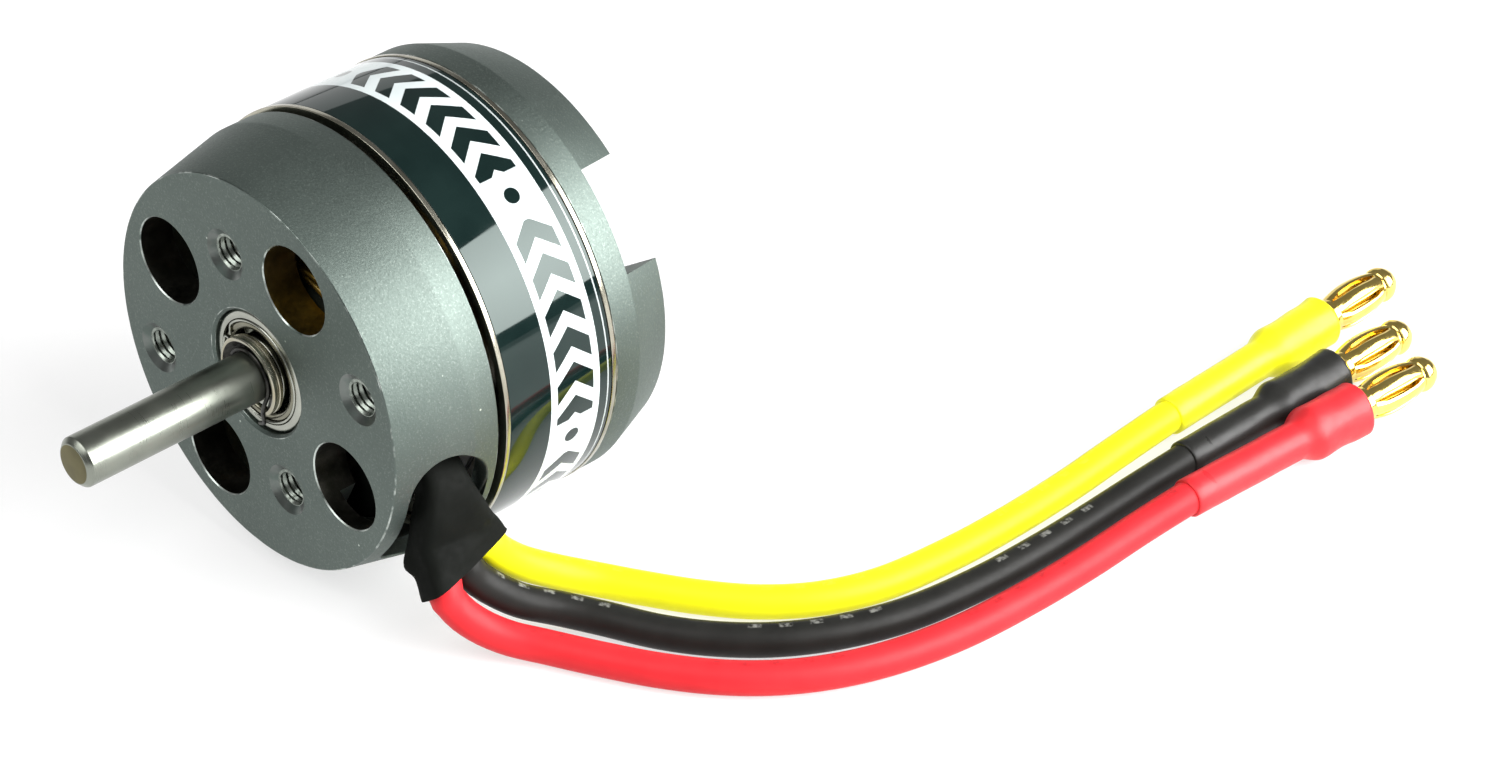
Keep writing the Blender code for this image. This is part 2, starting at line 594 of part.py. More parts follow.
def make_heat_shrink(material, parent):
    """A loft of flat rounded sections that turn from the slot down to the mouth over the leads."""
    last = len(HEAT_SHRINK) - 1
    centres = [Vector(section[0]) for section in HEAT_SHRINK]
    level = HEAT_SHRINK_LEVEL_SECTIONS
    loops = []
    bm = bmesh.new()
    for i, (_, half_width, half_thickness) in enumerate(HEAT_SHRINK):
        share = max(0.0, (i - level) / (last - level))
        along = (centres[min(i + 1, last)] - centres[max(i - 1, 0)]).normalized()
        if i == last:
            along = Vector(HEAT_SHRINK_MOUTH_NORMAL).normalized()
        wide = Vector((0, 1, 0)).lerp(Vector(HEAT_SHRINK_MOUTH_WIDTH_DIRECTION), share)
        wide = (wide - along * wide.dot(along)).normalized()
        thick = along.cross(wide)
        loop = []
        for k in range(HEAT_SHRINK_SIDES):
            angle = math.tau * k / HEAT_SHRINK_SIDES
            c, s = math.cos(angle), math.sin(angle)
            point = wide * half_width * math.copysign(abs(c) ** HEAT_SHRINK_SQUARENESS, c)
            point += thick * half_thickness * math.copysign(abs(s) ** HEAT_SHRINK_SQUARENESS, s)
            loop.append(bm.verts.new(centres[i] + point))
        loops.append(loop)
    for first, second in zip(loops, loops[1:]):
        for k in range(HEAT_SHRINK_SIDES):
            j = (k + 1) % HEAT_SHRINK_SIDES
            bm.faces.new((first[k], first[j], second[j], second[k]))
    bm.faces.new(loops[0])
    bm.faces.new(loops[-1])
    finish_mesh("lead_heat_shrink", bm, material, parent, sharp_deg=50.0)


def smooth_route(points, count):
    """Points at equal parameter steps on a Catmull-Rom curve through the route's own points."""
    ends = [points[0] * 2 - points[1], *points, points[-1] * 2 - points[-2]]
    lengths = [0.0]
    for first, second in zip(points, points[1:]):
        lengths.append(lengths[-1] + (second - first).length)
    made = []
    for i in range(count):
        target = lengths[-1] * i / (count - 1)
        k = max(j for j in range(len(points) - 1) if lengths[j] <= target + 1e-9)
        t = (target - lengths[k]) / (lengths[k + 1] - lengths[k])
        a, b, c, d = ends[k:k + 4]
        made.append(0.5 * ((2 * b) + (c - a) * t + (2 * a - 5 * b + 4 * c - d) * t**2
                           + (3 * b - a - 3 * c + d) * t**3))
    return made


def make_lead(colour_name, lead, materials, parent):
    """A lead on the table, with its heat-shrink sleeve and its bullet connector."""
    route = [Vector((x, s, height - RING_RADIUS)) for x, s, height in lead["route"]]
    points = smooth_route(route, POINTS_PER_LEAD)
    curve = bpy.data.curves.new(f"{colour_name}_lead", "CURVE")
    curve.dimensions = "3D"
    curve.bevel_depth = LEAD_DIAMETER / 2 * MM
    curve.bevel_resolution = 2
    curve.use_fill_caps = True
    spline = curve.splines.new("POLY")
    spline.points.add(len(points) - 1)
    for target, point in zip(spline.points, points):
        target.co = (*(point * MM), 1.0)
    curve.materials.append(materials[f"{colour_name}_insulation"])
    obj = bpy.data.objects.new(f"{colour_name}_lead", curve)
    bpy.context.scene.collection.objects.link(obj)
    obj.parent = parent

    big = lead["big_radius"]
    shoulder, end = lead["shoulder_mm"], lead["sleeve_mm"]
    cup = end - SLEEVE_CUP_DEPTH
    sleeve = (
        (0.0, 0.0), (0.0, SLEEVE_SMALL_RADIUS), (shoulder, SLEEVE_SMALL_RADIUS),
        (shoulder + SLEEVE_SHOULDER, big), (end, big), (end, SLEEVE_CUP_RADIUS),
        (cup, SLEEVE_CUP_RADIUS), (cup, 0.0),
    )
    bullet = [(cup + LEAD_GAP, 0.0), (cup + LEAD_GAP, BULLET_TAIL_RADIUS)]
    bullet += [(end + distance, radius) for distance, radius in BULLET_NOSE]
    heading = Matrix.Rotation(math.radians(lead["heading_deg"]), 4, "Z")
    place = Matrix.Translation(route[-1] + heading @ Vector((0.0, LEAD_GAP, 0.0))) @ heading
    pieces = (
        (f"{colour_name}_lead_sleeve", sleeve, materials[f"{colour_name}_insulation"]),
        (f"{colour_name}_bullet_connector", bullet, materials["gold"]),
    )
    for name, profile, material in pieces:
        bm = bmesh.new()
        add_moved(bm, lambda part, p=profile: add_turned(part, p, SLEEVE_SEGMENTS), place)
        finish_mesh(name, bm, material, parent)


def make_materials():
    materials = {
        "anodised": make_material("anodised_aluminium", (0.24, 0.26, 0.26), 0.9, 0.42),
        "ring_steel": make_material("ring_steel", (0.72, 0.72, 0.7), 1.0, 0.25),
        "shaft_steel": make_material("shaft_steel", (0.78, 0.78, 0.76), 1.0, 0.2),
        "bearing_steel": make_material("bearing_steel", (0.62, 0.63, 0.62), 1.0, 0.3),
        "tube_aluminium": make_material("tube_aluminium", (0.7, 0.71, 0.72), 1.0, 0.4),
        "lamination": make_material("lamination_steel", (0.3, 0.31, 0.32), 0.9, 0.5),
        "insulator": make_material("end_insulator", (0.04, 0.09, 0.06), 0.0, 0.5),
        "copper": make_material("enamelled_copper", (0.55, 0.27, 0.09), 0.8, 0.35),
        "magnet": make_material("nickel_magnet", (0.66, 0.65, 0.62), 1.0, 0.3),
        "label": make_material("gloss_label", (0.01, 0.02, 0.02), 0.0, 0.1),
        "heat_shrink": make_material("heat_shrink", (0.02, 0.02, 0.02), 0.0, 0.6),
        "gold": make_material("gold_plate", (0.85, 0.6, 0.25), 1.0, 0.25),
    }
    for colour_name, lead in LEADS.items():
        name = f"{colour_name}_insulation"
        materials[name] = make_material(name, lead["colour"], 0.0, 0.5)
    return materials


def main():
    clear_scene()
    materials = make_materials()
    middle_station = (SHAFT_FRONT + SHAFT_REAR) / 2
    stator = make_axis_empty("stator_frame", middle_station)
    rotor = make_axis_empty("rotor_axis", middle_station)
    cages = {name: make_axis_empty(f"{name}_cage_axis", middle_station) for name in ("front", "rear")}
    make_front_housing(materials["anodised"], stator)
    make_bearing_tube(materials["tube_aluminium"], stator)
    make_bearing("front_bearing", FRONT_BEARING, materials, stator, rotor, cages["front"])
    make_bearing("rear_bearing", REAR_BEARING, materials, stator, rotor, cages["rear"])
    make_bearing_trim(materials, stator)
    make_stator(materials, stator)
    make_heat_shrink(materials["heat_shrink"], stator)
    for colour_name, lead in LEADS.items():
        make_lead(colour_name, lead, materials, stator)
    make_rotor(materials, rotor)


main()
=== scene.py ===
"""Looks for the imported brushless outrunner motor: camera, leads, floor, light, then each piece.

Pieces are modelled about the motor's axis in millimetres, as x, station and z: x to the right,
station along the axis from the front mounting face towards the rear, z up from the axis.
"""

import json
import math

import bmesh
import bpy
from mathutils import Matrix, Vector, noise


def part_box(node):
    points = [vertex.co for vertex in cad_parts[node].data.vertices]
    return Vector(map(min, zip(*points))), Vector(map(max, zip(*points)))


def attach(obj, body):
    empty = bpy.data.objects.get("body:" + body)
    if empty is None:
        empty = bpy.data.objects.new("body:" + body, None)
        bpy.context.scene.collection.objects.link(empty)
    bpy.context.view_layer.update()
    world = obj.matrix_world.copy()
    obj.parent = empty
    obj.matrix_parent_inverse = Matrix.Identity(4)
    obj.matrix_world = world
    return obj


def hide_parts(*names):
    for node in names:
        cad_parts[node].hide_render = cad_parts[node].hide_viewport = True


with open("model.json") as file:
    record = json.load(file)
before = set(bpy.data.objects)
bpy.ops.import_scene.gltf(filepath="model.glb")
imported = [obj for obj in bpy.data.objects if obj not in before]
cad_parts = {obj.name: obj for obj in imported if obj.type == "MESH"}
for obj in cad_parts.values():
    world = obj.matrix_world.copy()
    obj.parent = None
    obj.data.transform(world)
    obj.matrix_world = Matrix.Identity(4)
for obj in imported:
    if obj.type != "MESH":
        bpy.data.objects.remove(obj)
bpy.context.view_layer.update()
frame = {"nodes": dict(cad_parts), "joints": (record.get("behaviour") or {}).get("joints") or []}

MM = 0.001
AXIS_HEIGHT = frame["joints"][0]["pos_m"][2]
STATION_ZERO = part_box("front_housing")[0].y
TO_ROW = Matrix.Translation((0.0, STATION_ZERO, AXIS_HEIGHT)) @ Matrix.Scale(MM, 4)

CAMERA_PLACE = (0.260305, -0.199462, 0.243389)
CAMERA_RIGHT = (0.68195, 0.73140, 0.0)
CAMERA_UP = (-0.42149, 0.39299, 0.81725)
CAMERA_BACK = (0.59774, -0.55733, 0.57628)
CAMERA_LENS = 128.18

LEAD_DIAMETER = 2.65
LEAD_GAP = 0.3
SLEEVE_RADIUS = 1.55
# Each lead's route: x, station, height above the table. It ends where its sleeve starts.
LEADS = {
    "yellow": {
        "route": (
            (17.0, 7.5, 7.5), (17.1, 8.0, 6.7), (17.25, 8.85, 5.7), (17.7, 10.4, 4.35),
            (18.7, 13.0, 2.75), (20.4, 15.4, 1.75), (22.8, 17.3, 1.38), (26.7, 19.8, 1.36),
            (30.2, 22.7, 1.36), (33.0, 26.4, 1.36), (34.8, 31.0, 1.36), (35.6, 37.0, 1.36),
            (35.8, 43.0, 1.36), (35.6, 49.5, 1.38), (35.4, 55.0, 1.7), (35.3, 61.0, 2.15),
        ),
        "heading_deg": 2.2, "shoulder": 11.0, "end": 18.5, "big_radius": 2.1,
        "length": 0.0680, "colour": (0.90, 0.87, 0.012), "shade": (0.86, 0.82, 0.01),
        "print": (0.62, 0.56, 0.03),
    },
    "black": {
        "route": (
            (17.5, 5.05, 6.7), (17.75, 5.35, 6.0), (18.4, 6.2, 4.9), (19.8, 8.0, 3.4),
            (21.4, 10.5, 2.2), (23.8, 12.6, 1.55), (27.8, 14.8, 1.36), (31.4, 17.4, 1.36),
            (34.5, 20.7, 1.36), (37.0, 24.9, 1.36), (38.8, 30.0, 1.36), (39.7, 36.5, 1.36),
            (39.9, 43.0, 1.36), (39.8, 48.5, 1.4), (39.9, 53.0, 1.75), (40.1, 57.6, 2.15),
        ),
        "heading_deg": 0.0, "shoulder": 9.2, "end": 17.2, "big_radius": 2.1,
        "length": 0.0687, "colour": (0.011, 0.011, 0.010), "shade": (0.016, 0.016, 0.0145),
        "print": (0.22, 0.22, 0.2),
    },
    "red": {
        "route": (
            (18.1, 2.45, 5.9), (18.45, 2.7, 5.1), (19.1, 3.3, 4.0), (20.1, 4.4, 2.8),
            (21.4, 5.8, 1.85), (23.2, 7.3, 1.4), (27.2, 9.4, 1.36), (31.2, 11.7, 1.36),
            (34.8, 14.4, 1.36), (37.8, 17.6, 1.36), (40.2, 21.5, 1.36), (41.9, 26.0, 1.36),
            (43.0, 31.5, 1.36), (43.4, 38.0, 1.36), (43.4, 44.0, 1.4), (43.5, 49.5, 1.85),
            (43.8, 54.0, 2.35),
        ),
        "heading_deg": -2.6, "shoulder": 11.8, "end": 18.2, "big_radius": 2.25,
        "length": 0.0713, "colour": (0.64, 0.025, 0.031), "shade": (0.59, 0.02, 0.026),
        "print": (0.33, 0.015, 0.02),
    },
}

# The heat-shrink over the roots of the leads, from inside the housing out to its open mouth:
# centre, direction across its width, half width, half thickness.
HEAT_SHRINK = (
    ((0.5, 6.0, -11.6), (0.0, 1.0, 0.0), 1.7, 2.1),
    ((4.9, 5.8, -10.5), (0.0, 1.0, 0.0), 1.8, 2.2),
    ((8.2, 5.6, -7.7), (0.0, 1.0, 0.0), 1.8, 2.1),
    ((9.7, 5.4, -4.7), (0.0, 1.0, 0.0), 1.7, 1.8),
    ((11.3, 5.1, -2.7), (0.0, 1.0, 0.0), 1.7, 1.5),
    ((13.6, 4.95, -2.9), (0.0, 1.0, 0.0), 1.8, 1.5),
    ((15.3, 4.75, -4.3), (0.05, 1.0, 0.0), 1.95, 1.6),
    ((15.95, 4.7, -6.2), (0.08, 0.99, -0.05), 2.8, 1.65),
    ((16.1, 4.85, -8.1), (0.06, 0.99, -0.08), 3.4, 1.75),
    ((16.7, 5.0, -9.6), (-0.1, 0.99, 0.0), 3.95, 1.8),
    ((17.4, 5.05, -10.9), (-0.2, 0.96, 0.13), 4.3, 1.75),
)
MOUTH = Vector(HEAT_SHRINK[-1][0])
MOUTH_WIDTH_DIRECTION = Vector(HEAT_SHRINK[-1][1]).normalized()
# The mouth is cut askew: set back on one flat side, and at one end of its width.
MOUTH_SLANT = 0.45
MOUTH_SKEW = 0.85

HOUSING_FACE_RADIUS = 15.95
HOUSING_RADIUS = 17.3
HOUSING_CONE_END = 6.4
HOUSING_END = 8.66
FRONT_WALL = 3.0
COOLING_HOLE_RADIUS = 3.5
COOLING_HOLE_CIRCLE = 11.1
COOLING_HOLE_ANGLES = (152.5, 62.5, -27.2, 242.5)
SCREW_HOLES = ((9.55, 107.5), (9.55, 287.5), (12.55, 17.5), (12.55, 197.5))
THREAD_RADII = (1.26, 1.44, 1.52)
THREAD_PITCH = 0.5
LEAD_SLOT_ANGLE = -27.0
LEAD_SLOT_STATION = 4.65
LEAD_SLOT_WIDTH = 6.3
LEAD_SLOT_LENGTH = 13.5
LEAD_SLOT_CHAMFER = 0.18

SHAFT_SPAN = (-16.75, 29.75)
SHAFT_RADIUS = 2.0
RING_SPAN = (9.26, 20.0)
RING_RADIUS = 17.5
RING_LAND = 0.4
ROTOR_INNER_RADIUS = 16.0
LABEL_SPAN = (9.72, 19.54)
LABEL_RADIUS = 17.45
LABEL_SEAT_RADIUS = 17.3
STRIPE_SPAN = (13.63, 18.36)

CAP_START = 20.07
CAP_BAND_END = 22.3
CAP_END = 26.26
CAP_RADIUS = 17.45
HUB_SPAN = (22.7, 29.5)
HUB_RADIUS = 5.2
CAP_SLOT_WIDTH = 8.4
CAP_SLOT_ANGLES = (35.8, 155.8, 275.8)
CAP_SLOT_INNER_RADIUS = 8.2
GRUB_SCREW_STATION = 27.9
GRUB_SCREW_ANGLES = (95.8, 215.8)
GRUB_SCREW_RADIUS = 1.4

FRONT_BEARING_STATION = 0.25
REAR_BEARING_STATION = 17.35

COILS = 12
COIL_LAYERS = 2
COIL_TURNS = 7
COIL_CENTRE = 14.75
COIL_ROOT_RADIUS = 9.05
COIL_HALF_LENGTH = 5.6
COIL_HALF_WIDTH = 1.9
COIL_BEND = 0.5
WIRE_RADIUS = 0.22
WIRE_PITCH = 0.46

# Segments round a lathe-turned piece.
FINE = 192
ROUND = 96


# Scene helpers.


def make_camera():
    data = bpy.data.cameras.new("camera")
    data.lens = CAMERA_LENS
    data.sensor_width = 36.0
    data.clip_start = 0.01
    camera = bpy.data.objects.new("camera", data)
    turn = Matrix((CAMERA_RIGHT, CAMERA_UP, CAMERA_BACK)).transposed().to_4x4()
    camera.matrix_world = Matrix.Translation(CAMERA_PLACE) @ turn
    bpy.context.scene.collection.objects.link(camera)
    bpy.context.scene.camera = camera


def make_light(name, place, target, size, power, spread_deg=180.0):
    data = bpy.data.lights.new(name, "AREA")
    data.shape = "RECTANGLE"
    data.size, data.size_y = size
    data.energy = power
    data.spread = math.radians(spread_deg)
    light = bpy.data.objects.new(name, data)
    light.visible_camera = False
    light.location = place
    light.rotation_euler = (Vector(place) - Vector(target)).to_track_quat("Z", "Y").to_euler()
    bpy.context.scene.collection.objects.link(light)


def make_world(brightness):
    world = bpy.data.worlds.new("studio")
    world.use_nodes = True
    background = world.node_tree.nodes["Background"]
    background.inputs["Color"].default_value = (1.0, 1.0, 1.0, 1.0)
    background.inputs["Strength"].default_value = brightness
    bpy.context.scene.world = world


# Material helpers.


class Finish:
    """A procedural material being built, with object coordinates in metres."""

    def __init__(self, name, **fixed):
        self.material = bpy.data.materials.new(name)
        self.material.use_nodes = True
        self.tree = self.material.node_tree
        self.shader = self.tree.nodes["Principled BSDF"]
        self.place = self.node("TexCoord", {}, "Object")
        self.set(**fixed)

    def join(self, socket, value):
        """Links another node's output to this input, or gives it a fixed value."""
        if isinstance(value, bpy.types.NodeSocket):
            self.tree.links.new(value, socket)
        elif isinstance(value, tuple) and socket.type == "RGBA":
            socket.default_value = (*value, 1.0)
        else:
            socket.default_value = value

    def node(self, kind, inputs, output=0, **settings):
        made = self.tree.nodes.new(f"ShaderNode{kind}")
        for key, value in settings.items():
            setattr(made, key, value)
        for key, value in inputs.items():
            self.join(made.inputs[key], value)
        return made.outputs[output]

    def math(self, operation, *values):
        return self.node("Math", dict(enumerate(values)), operation=operation)

    def noise(self, scale, detail=2.0, stretch=None):
        """Noise with features about 1 / scale metres across, finer along an axis with more stretch."""
        vector = self.place
        if stretch:
            vector = self.node("VectorMath", {0: vector, 1: stretch}, operation="MULTIPLY")
        return self.node("TexNoise", {"Vector": vector, "Scale": scale, "Detail": detail}, "Fac")

    def fit(self, value, low, high, to_low=0.0, to_high=1.0):
        limits = {"Value": value, "From Min": low, "From Max": high, "To Min": to_low, "To Max": to_high}
        return self.node("MapRange", limits)

    def spread(self, noise_value, to_low=0.0, to_high=1.0):
        """Noise spread over these values; nearly all of it lies between 0.3 and 0.7."""
        return self.fit(noise_value, 0.3, 0.7, to_low, to_high)

    def band(self, value, low, high, soft):
        """One between low and high, and zero outside."""
        rise = self.fit(value, low - soft, low + soft)
        fall = self.fit(value, high - soft, high + soft, 1.0, 0.0)
        return self.math("MULTIPLY", rise, fall)

    def mix(self, share, first, second):
        made = self.tree.nodes.new("ShaderNodeMix")
        made.data_type = "RGBA"
        self.join(made.inputs["Factor"], share)
        self.join(made.inputs[6], first)
        self.join(made.inputs[7], second)
        return made.outputs[2]

    def bump(self, height, depth_mm, strength=1.0, below=None):
        inputs = {"Height": height, "Distance": depth_mm * MM, "Strength": strength}
        if below:
            inputs["Normal"] = below
        return self.node("Bump", inputs)

    def set(self, **values):
        """Joins values to the shader's inputs, named with _ for each space."""
        for name, value in values.items():
            self.join(self.shader.inputs[name.replace("_", " ")], value)

    def made(self, colour, rough, normal=None):
        """The finished material."""
        self.set(Base_Color=colour, Roughness=rough)
        if normal:
            self.set(Normal=normal)
        return self.material

    def axis_parts(self):
        """The station in millimetres, and the angle about the axis in degrees."""
        parts = self.node("SeparateXYZ", {0: self.place}, 0).node
        up = self.math("SUBTRACT", parts.outputs[2], AXIS_HEIGHT)
        station = self.math("DIVIDE", self.math("SUBTRACT", parts.outputs[1], STATION_ZERO), MM)
        angle = self.math("DEGREES", self.math("ARCTAN2", up, parts.outputs[0]))
        return station, angle


def anodised_aluminium():
    """Grey anodising over a bead-blasted surface, with a fine glint and a few pale specks."""
    f = Finish("anodised_aluminium_blasted", Metallic=1.0)
    grain = f.noise(4600.0, 3.0)
    cloud = f.noise(140.0, 4.0)
    colour = f.mix(f.spread(cloud), (0.110, 0.136, 0.123), (0.128, 0.157, 0.142))
    glint = f.fit(f.noise(7000.0, 1.0), 0.56, 0.76)
    colour = f.mix(f.math("MULTIPLY", glint, 0.3), colour, (0.29, 0.33, 0.30))
    cell = f.node("TexVoronoi", {"Vector": f.place, "Scale": 330.0}, "Distance")
    colour = f.mix(f.fit(cell, 0.02, 0.035, 1.0, 0.0), colour, (0.5, 0.55, 0.5))
    rough = f.fit(f.math("ADD", grain, f.math("MULTIPLY", cloud, 0.4)), 0.4, 1.0, 0.48, 0.6)
    return f.made(colour, rough, f.bump(grain, 0.02, 0.8))


def worn_edge(name, start, pale):
    """A machined edge where the anodising has rubbed through in places."""
    f = Finish(name, Metallic=1.0)
    wear = f.noise(650.0, 5.0)
    colour = f.mix(f.fit(wear, start, start + 0.14), (0.11, 0.135, 0.122), (pale, pale * 1.1, pale * 1.03))
    return f.made(colour, f.spread(wear, 0.42, 0.26), f.bump(f.noise(3000.0), 0.01, 0.5))


def hole_wall():
    """Anodising darkened inside the cooling holes as painted shade, with a painted brown reflection of the
    windings on the wall of one of them.
    """
    f = Finish("hole_wall_painted_shade", Metallic=1.0)
    cloud = f.noise(420.0, 4.0)
    grain = f.noise(3800.0, 2.0)
    # Both colours are far darker than the outer anodising: painted shade inside the bores.
    colour = f.mix(f.fit(cloud, 0.35, 0.68), (0.026, 0.026, 0.02), (0.075, 0.073, 0.062))
    _, angle = f.axis_parts()
    # Painted brown reflection of the copper windings, only on the wall of the hole at 62.5 degrees.
    winding_reflection = f.math("MULTIPLY", f.band(angle, 38.0, 79.0, 9.0), f.fit(cloud, 0.3, 0.62, 0.35, 1.0))
    colour = f.mix(winding_reflection, colour, (0.32, 0.2, 0.026))
    return f.made(colour, f.spread(grain, 0.34, 0.52), f.bump(grain, 0.02, 0.8))


def clouded(name, noise_size, share, first, second, rough, depth_mm, strength=0.5, **fixed):
    """A finish whose colour, roughness and bumps all follow one cloudy noise."""
    f = Finish(name, **fixed)
    cloud = f.noise(*noise_size)
    colour = f.mix(f.fit(cloud, *share), first, second)
    return f.made(colour, f.spread(cloud, *rough), f.bump(cloud, depth_mm, strength))


def cut_thread():
    """Cut aluminium where a thread was cut through the anodising, its colour darkened as painted shade inside
    the screw holes.
    """
    return clouded("cut_thread_aluminium_painted_shade", (1500.0, 4.0), (0.35, 0.6), (0.15, 0.17, 0.15),
                   (0.325, 0.36, 0.32), (0.2, 0.36), 0.01, Metallic=1.0)


def turned_metal(name, colour, tint, rough, groove_mm):
    """Metal with fine rings of grinding about the motor's axis."""
    f = Finish(name, Metallic=1.0)
    rings = f.noise(300.0, 5.0, (1.0, 60.0, 1.0))
    cloud = f.noise(420.0, 3.0)
    base = f.mix(f.fit(cloud, 0.35, 0.7), colour, tint)
    roughness = f.fit(f.math("ADD", rings, cloud), 0.7, 1.3, rough[0], rough[1])
    return f.made(base, roughness, f.bump(rings, groove_mm, 0.6))


# Each turned or ground metal: key, name, colour, tint, roughness, depth of its grinding marks in millimetres.
TURNED_METALS = (
    ("ground", "ground_shaft_steel", (0.235, 0.25, 0.215), (0.275, 0.29, 0.25), (0.26, 0.38), 0.003),
    ("end", "bronzed_shaft_end", (0.085, 0.075, 0.03), (0.14, 0.125, 0.055), (0.3, 0.42), 0.003),
    ("land", "polished_ring_land", (0.34, 0.325, 0.26), (0.46, 0.445, 0.37), (0.16, 0.26), 0.0008),
    ("bright", "bright_bearing_steel", (0.33, 0.34, 0.3), (0.4, 0.41, 0.36), (0.14, 0.24), 0.003),
    ("shield", "dull_shield_steel", (0.17, 0.165, 0.12), (0.23, 0.225, 0.175), (0.16, 0.26), 0.003),
    ("clip", "straw_tempered_steel", (0.36, 0.33, 0.24), (0.42, 0.42, 0.36), (0.14, 0.22), 0.012),
    ("tube", "turned_tube_aluminium", (0.68, 0.69, 0.7), (0.76, 0.77, 0.78), (0.28, 0.42), 0.003),
)


def spring_steel():
    """Black oxide, rubbed paler in patches."""
    return clouded("black_oxide_spring_steel", (1600.0, 3.0), (0.45, 0.7), (0.022, 0.022, 0.02),
                   (0.07, 0.068, 0.06), (0.24, 0.42), 0.006, Metallic=0.9)


def gloss_label():
    """Dark gloss film with a pale stripe, and plain chevrons and dots along the stripe."""
    f = Finish("gloss_label_film", Metallic=0.0, IOR=1.47, Specular_Tint=(0.87, 1.0, 0.95))
    station, angle = f.axis_parts()
    around = f.math("MULTIPLY", angle, math.radians(LABEL_RADIUS))
    fold = f.math("ABSOLUTE", f.math("SUBTRACT", station, sum(STRIPE_SPAN) / 2))
    pitch = 2.9
    step = f.math("FRACT", f.math("DIVIDE", f.math("ADD", around, f.math("MULTIPLY", fold, 0.85)), pitch))
    chevron = f.band(step, 0.22, 0.79, 0.012)
    height = f.fit(fold, 1.72, 1.78, 1.0, 0.0)
    group = f.math("FRACT", f.math("DIVIDE", f.math("ADD", around, 6.0), pitch * 7))
    run = f.band(group, 0.16, 0.97, 0.002)
    dot_place = f.math("MULTIPLY", f.math("SUBTRACT", group, 0.07), pitch * 7)
    dot = f.fit(f.math("SQRT", f.math("ADD", f.math("POWER", dot_place, 2.0),
                                      f.math("POWER", fold, 2.0))), 0.62, 0.68, 1.0, 0.0)
    marks = f.math("MULTIPLY", f.math("MULTIPLY", chevron, height), run)
    marks = f.math("MAXIMUM", marks, dot)
    stripe = f.band(station, *STRIPE_SPAN, 0.02)
    edge = f.band(station, 19.12, 19.24, 0.015)
    cloud = f.noise(260.0, 4.0)
    film = f.mix(f.spread(cloud), (0.002, 0.0075, 0.007), (0.0045, 0.012, 0.011))
    pale = f.mix(f.spread(cloud), (0.52, 0.575, 0.58), (0.6, 0.65, 0.65))
    colour = f.mix(stripe, film, f.mix(marks, pale, film))
    colour = f.mix(edge, colour, (0.35, 0.38, 0.38))
    ripple = f.noise(160.0, 2.0)
    rough = f.spread(cloud, 0.035, 0.07)
    return f.made(colour, rough, f.bump(ripple, 0.02, 0.25))


def shrunk_tube(name, first, second, rough, depth_mm=0.02, gloss=0.5):
    """Polyolefin heat-shrink: a dull skin with a fine orange-peel texture."""
    f = Finish(name, Metallic=0.0, IOR=1.5, Specular_IOR_Level=gloss)
    skin = f.noise(1700.0, 4.0)
    cloud = f.noise(230.0, 3.0)
    colour = f.mix(f.spread(cloud), first, second)
    roughness = f.spread(skin, rough[0], rough[1])
    folds = f.bump(cloud, 0.06, 0.3)
    return f.made(colour, roughness, f.bump(skin, depth_mm, 0.6, folds))


def silicone_lead(name, lead):
    """Silicone rubber, with short plain dashes printed in a line along the lead."""
    f = Finish(name, Metallic=0.0, IOR=1.45, Specular_IOR_Level=0.16)
    lay = f.node("Attribute", {}, "Vector", attribute_name="lay")
    parts = f.node("SeparateXYZ", {0: lay}, 0).node
    run, side, up = parts.outputs
    dash = f.math("FRACT", f.math("DIVIDE", run, 2.3))
    group = f.math("FRACT", f.math("DIVIDE", run, 21.0))
    marks = f.math("MULTIPLY", f.band(dash, 0.2, 0.62, 0.03), f.band(group, 0.2, 0.72, 0.004))
    line = f.math("MULTIPLY", f.band(side, -0.2, 0.16, 0.03), f.fit(up, 0.0, 0.1))
    patchy = f.fit(f.noise(2600.0, 3.0), 0.38, 0.62)
    marks = f.math("MULTIPLY", f.math("MULTIPLY", marks, line), patchy)
    cloud = f.noise(300.0, 3.0)
    colour = f.mix(f.spread(cloud), lead["colour"], lead["shade"])
    colour = f.mix(f.math("MULTIPLY", marks, 0.75), colour, lead["print"])
    skin = f.noise(2400.0, 3.0)
    return f.made(colour, f.spread(skin, 0.38, 0.5), f.bump(skin, 0.01, 0.4))


def gold_plate():
    f = Finish("gold_plate_polished", Metallic=1.0)
    cloud = f.noise(900.0, 4.0)
    scuff = f.noise(4200.0, 3.0)
    colour = f.mix(f.spread(cloud), (0.94, 0.73, 0.24), (0.88, 0.65, 0.17))
    return f.made(colour, f.spread(scuff, 0.1, 0.2), f.bump(scuff, 0.006, 0.5))


def enamelled_copper(name, first, second):
    """Copper wire under clear varnish."""
    return clouded(name, (800.0, 3.0), (0.3, 0.7), first, second, (0.25, 0.4), 0.01, 0.4,
                   Metallic=0.9, Coat_Weight=0.6, Coat_Roughness=0.15)


def laminated_steel():
    """The edges of stacked 0.35 mm sheets, seen from the side."""
    f = Finish("laminated_steel_stack", Metallic=0.9)
    station, _ = f.axis_parts()
    sheet = f.math("FRACT", f.math("DIVIDE", station, 0.35))
    seam = f.band(sheet, 0.12, 0.88, 0.08)
    cloud = f.noise(900.0, 3.0)
    steel = f.mix(f.fit(cloud, 0.35, 0.65), (0.24, 0.25, 0.26), (0.36, 0.36, 0.36))
    colour = f.mix(seam, (0.08, 0.08, 0.08), steel)
    return f.made(colour, f.spread(cloud, 0.4, 0.6), f.bump(seam, 0.03, 0.8))


def moulded_insulator():
    return clouded("moulded_end_insulator", (700.0, 4.0), (0.3, 0.7), (0.03, 0.09, 0.055),
                   (0.05, 0.13, 0.08), (0.45, 0.6), 0.03, Metallic=0.0)


def nickel_plate():
    return clouded("nickel_plated_magnet", (1100.0, 4.0), (0.3, 0.7), (0.6, 0.58, 0.53),
                   (0.72, 0.7, 0.65), (0.24, 0.4), 0.015, Metallic=1.0)


